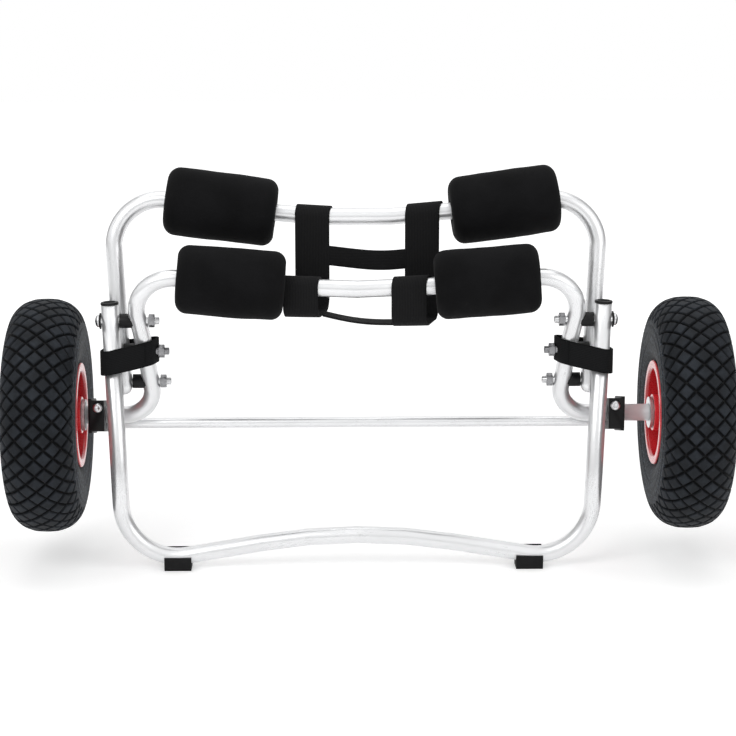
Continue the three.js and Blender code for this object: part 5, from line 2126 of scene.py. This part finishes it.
    def rim_bolt(self, index: int) -> tuple[Piece, Piece]:
        """A bolt through both rim halves, with its head outside and its nut inside.

        Args:
            index: Which of the four it is.

        Returns:
            The head and the nut.
        """
        turn = math.pi / 2 * index + math.pi / 4
        at = self.middle + Vector((0, math.cos(turn), math.sin(turn))) * self.bolt_circle
        head, nut = (millimetres(self.bolt_washer + end) for end in (self.bolt_head, self.bolt_nut))
        outside = self.hexed(f"{self.body}_rim_bolt_{index}", head, at, self.outward)
        return outside, self.hexed(f"{self.body}_rim_nut_{index}", nut, at, -self.outward)

    @classmethod
    def hexed(cls, name: str, profile: Profile, at: Vector, axis: Vector) -> Piece:
        """A turned fastener whose head is pressed to six flats.

        Args:
            name: The piece's name.
            profile: Its outline.
            at: Its middle.
            axis: Its direction.

        Returns:
            The piece.
        """
        piece = Bench.turn(name, profile, at, axis, 24, math.radians(25))
        points = Marks.points(piece)
        away = points - np.array(at)
        radius = np.hypot(away[:, 1], away[:, 2])
        along = away @ np.array(axis)
        low, high = cls.hex_band
        band = (radius > low) & (radius < high) & (along > profile[2][1])
        flat = cls.hex_swell * Marks.six_flats(np.arctan2(away[:, 2], away[:, 1]))
        points[band, 1] = at.y + away[band, 1] * flat[band]
        points[band, 2] = at.z + away[band, 2] * flat[band]
        Marks.move(piece, points)
        return piece

    def valve(self) -> tuple[Piece, Piece]:
        """The rubber valve stem and its cap, which stand in the outer dish.

        Returns:
            The stem and the cap.
        """
        radial = Vector((0, math.cos(self.valve_turn), math.sin(self.valve_turn)))
        sink, out = self.valve_foot
        foot = self.middle + radial * (self.rim_seat - self.rim_wall + sink) + self.outward * out
        axis = (-radial + self.outward * self.valve_lean).normalized()
        stem, cap = millimetres(self.valve_stem), millimetres(self.valve_cap)
        name = f"{self.body}_valve"
        stem = Bench.turn(f"{name}_stem", stem, foot, axis, 24)
        return stem, Bench.turn(f"{name}_cap", cap, foot, axis, 24)

    def build(self) -> None:
        """Builds and dresses the wheel."""
        body, inward, outward = self.body, -self.outward, self.outward
        self.wear(self.tyre(), Finishes.TYRE, body, (f"{body}_tyre",))
        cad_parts[f"{body}_inner_tube"].data.materials.clear()
        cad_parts[f"{body}_inner_tube"].data.materials.append(Finishes.RUBBER.material())
        halves = (("inner", self.reach_inner, inward), ("outer", self.reach_outer, outward))
        for word, reach, toward in halves:
            self.wear(self.rim(word, reach, toward), Finishes.RED, body, (f"{body}_rim_{word}",))
            self.wear(self.bearing(word, reach, toward), Finishes.STEEL, body, (f"{body}_bearing_{word}",))
        plain = self.washer("inner", self.reach_inner, 4 * MM, self.bearing_radius, inward)
        self.wear(plain, Finishes.STEEL, "frame", (f"{body}_washer_inner",))
        thin = self.washer("outer", self.reach_outer, 1.8 * MM, 15 * MM, outward)
        self.wear(thin, Finishes.STEEL, "frame", (f"{body}_washer_outer",))
        self.wear(Bench.softened(f"{body}_pin", 0.4 * MM), Finishes.STEEL, "frame")
        for index in range(4):
            for piece in self.rim_bolt(index):
                self.wear(piece, Finishes.STEEL, body)
        stem, cap = self.valve()
        self.wear(stem, Finishes.RUBBER, body)
        self.wear(cap, Finishes.PLASTIC, body)


@dataclass
class Studio:
    """The floor, the lights and the camera."""

    aim: Vector = field(default_factory=lambda: Vector((0, 0, 0.2204)))
    distance: float = 2.3215
    elevation: float = math.radians(11.5)
    azimuth: float = math.radians(-1.25)
    lens: float = 101.7
    floor_size: float = 14.0
    white: Colour = (0.93, 0.93, 0.93)
    floor_glow: tuple[float, float] = (0.32, 0.6)
    floor_fade: tuple[float, float] = (0.4, 2.4)
    horizon: tuple[float, float, float] = (0.05, 0.035, 0.075)
    flags: Table = ((118.0, 16.0), (-128.0, 11.0))
    flag_level: float = 0.22
    surround: float = 0.6
    lamp_aim: Vector = field(default_factory=lambda: Vector((0, 0, 0.22)))
    lamps: tuple[tuple[str, tuple[float, ...], tuple[float, float], float], ...] = (
        ("key", (-1.3, -1.9, 1.9), (1.5, 1.2), 20),
        ("fill", (1.8, -1.6, 1.2), (1.4, 1.4), 9),
        ("top", (0, 0.2, 2.3), (2.4, 1.6), 12),
    )

    def floor(self) -> None:
        """A pale floor that keeps the cart's shadow."""
        Bench.clear()
        bpy.ops.mesh.primitive_grid_add(x_subdivisions=8, y_subdivisions=8, size=self.floor_size)
        sheet = bpy.context.object
        sheet.name = "studio_floor"
        graph = Graph("studio_floor")
        tone = graph.noise(graph.place(), 3, 2)
        across, deep, _ = graph.part(graph.place())
        away = graph.math("SQRT", across * across + deep * deep)
        path = graph.node("ShaderNodeLightPath")
        camera, glossy = (Signal(graph, path.outputs[f"Is {word} Ray"]) for word in ("Camera", "Glossy"))
        seen = graph.math("MAXIMUM", camera, glossy)
        near, far = (tuple([level] * 3) for level in self.floor_glow)
        glow = graph.mix(away.between(*self.floor_fade), near, far)
        graph.set(
            Base_Color=graph.mix(tone.between(0.2, 0.8), tuple(0.99 * c for c in self.white), self.white),
            Roughness=0.9,
            Specular_IOR_Level=0.1,
            Emission_Color=graph.mix(seen, (0.0, 0.0, 0.0), glow),
            Emission_Strength=1.0,
        )
        sheet.data.materials.append(graph.material)

    def world(self) -> None:
        """A white surround for the camera and for reflections, and a softer light from it.

        Polished tube also mirrors a dark line at the horizon and two dark flags beside the cart.
        """
        graph = Surround("studio")
        path = graph.node("ShaderNodeLightPath")
        camera, through, glossy = (
            Signal(graph, path.outputs[f"Is {word} Ray"]) for word in ("Camera", "Transmission", "Glossy")
        )
        seen = graph.math("MAXIMUM", camera, through)
        direction = Signal(graph, graph.node("ShaderNodeTexCoord").outputs["Generated"])
        x, y, z = graph.part(direction)
        flat = graph.math("SQRT", x * x + y * y)
        height, half, soft = self.horizon
        bright = (z - height).size().between(half, soft)
        for turn, width in self.flags:
            angle = math.radians(turn)
            facing = (x * math.sin(angle) - y * math.cos(angle)) / flat
            inside = facing.between(math.cos(math.radians(width + 6)), math.cos(math.radians(width)))
            bright = bright * (1 - inside)
        mirrored = bright * (1 - self.flag_level) + self.flag_level
        hidden = 1 - graph.math("MAXIMUM", seen, glossy)
        graph.set(
            Color=(1.0, 1.0, 1.0),
            Strength=graph.math("MAXIMUM", seen, glossy * mirrored + hidden * self.surround),
        )

    @staticmethod
    def lamp(name: str, at: Vector, aim: Vector, size: tuple[float, float], power: float) -> None:
        """A soft rectangular lamp.

        Args:
            name: The lamp's name.
            at: Its place.
            aim: The point that it faces.
            size: Its width and height.
            power: Its power in watts.
        """
        data = bpy.data.lights.new(name, "AREA")
        data.shape = "RECTANGLE"
        data.size, data.size_y = size
        data.energy = power
        lamp = bpy.data.objects.new(name, data)
        lamp.location = at
        lamp.rotation_euler = (aim - at).to_track_quat("-Z", "Y").to_euler()
        bpy.context.scene.collection.objects.link(lamp)

    def camera(self) -> None:
        """The camera, where the photograph was taken from."""
        data = bpy.data.cameras.new("studio_camera")
        data.lens = self.lens
        data.sensor_width = 36.0
        camera = bpy.data.objects.new("studio_camera", data)
        flat = math.cos(self.elevation)
        across, deep = math.sin(self.azimuth) * flat, -math.cos(self.azimuth) * flat
        back = Vector((across, deep, math.sin(self.elevation)))
        camera.location = self.aim + back * self.distance
        camera.rotation_mode = "QUATERNION"
        camera.rotation_quaternion = (-back).to_track_quat("-Z", "Y")
        bpy.context.scene.collection.objects.link(camera)
        bpy.context.scene.camera = camera

    def build(self) -> None:
        """Sets up the studio."""
        self.camera()
        self.floor()
        self.world()
        for name, at, size, power in self.lamps:
            self.lamp(name, Vector(at), self.lamp_aim, size, power)
        bpy.context.scene.view_settings.view_transform = "Standard"


def main() -> None:
    """Builds the cart in order, then the studio."""
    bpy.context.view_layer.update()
    Studio().build()
    kinds = (TubeFrame, KickstandTrim, JointHardware, PadSet, Harness, LegStraps)
    for assembly in [kind() for kind in kinds] + [Wheel(side) for side in Side]:
        assembly.build()
        log.info("%s: %d pieces", type(assembly).__name__, len(assembly.made))
    Bench.clear()


if __name__ == "__main__":
    main()
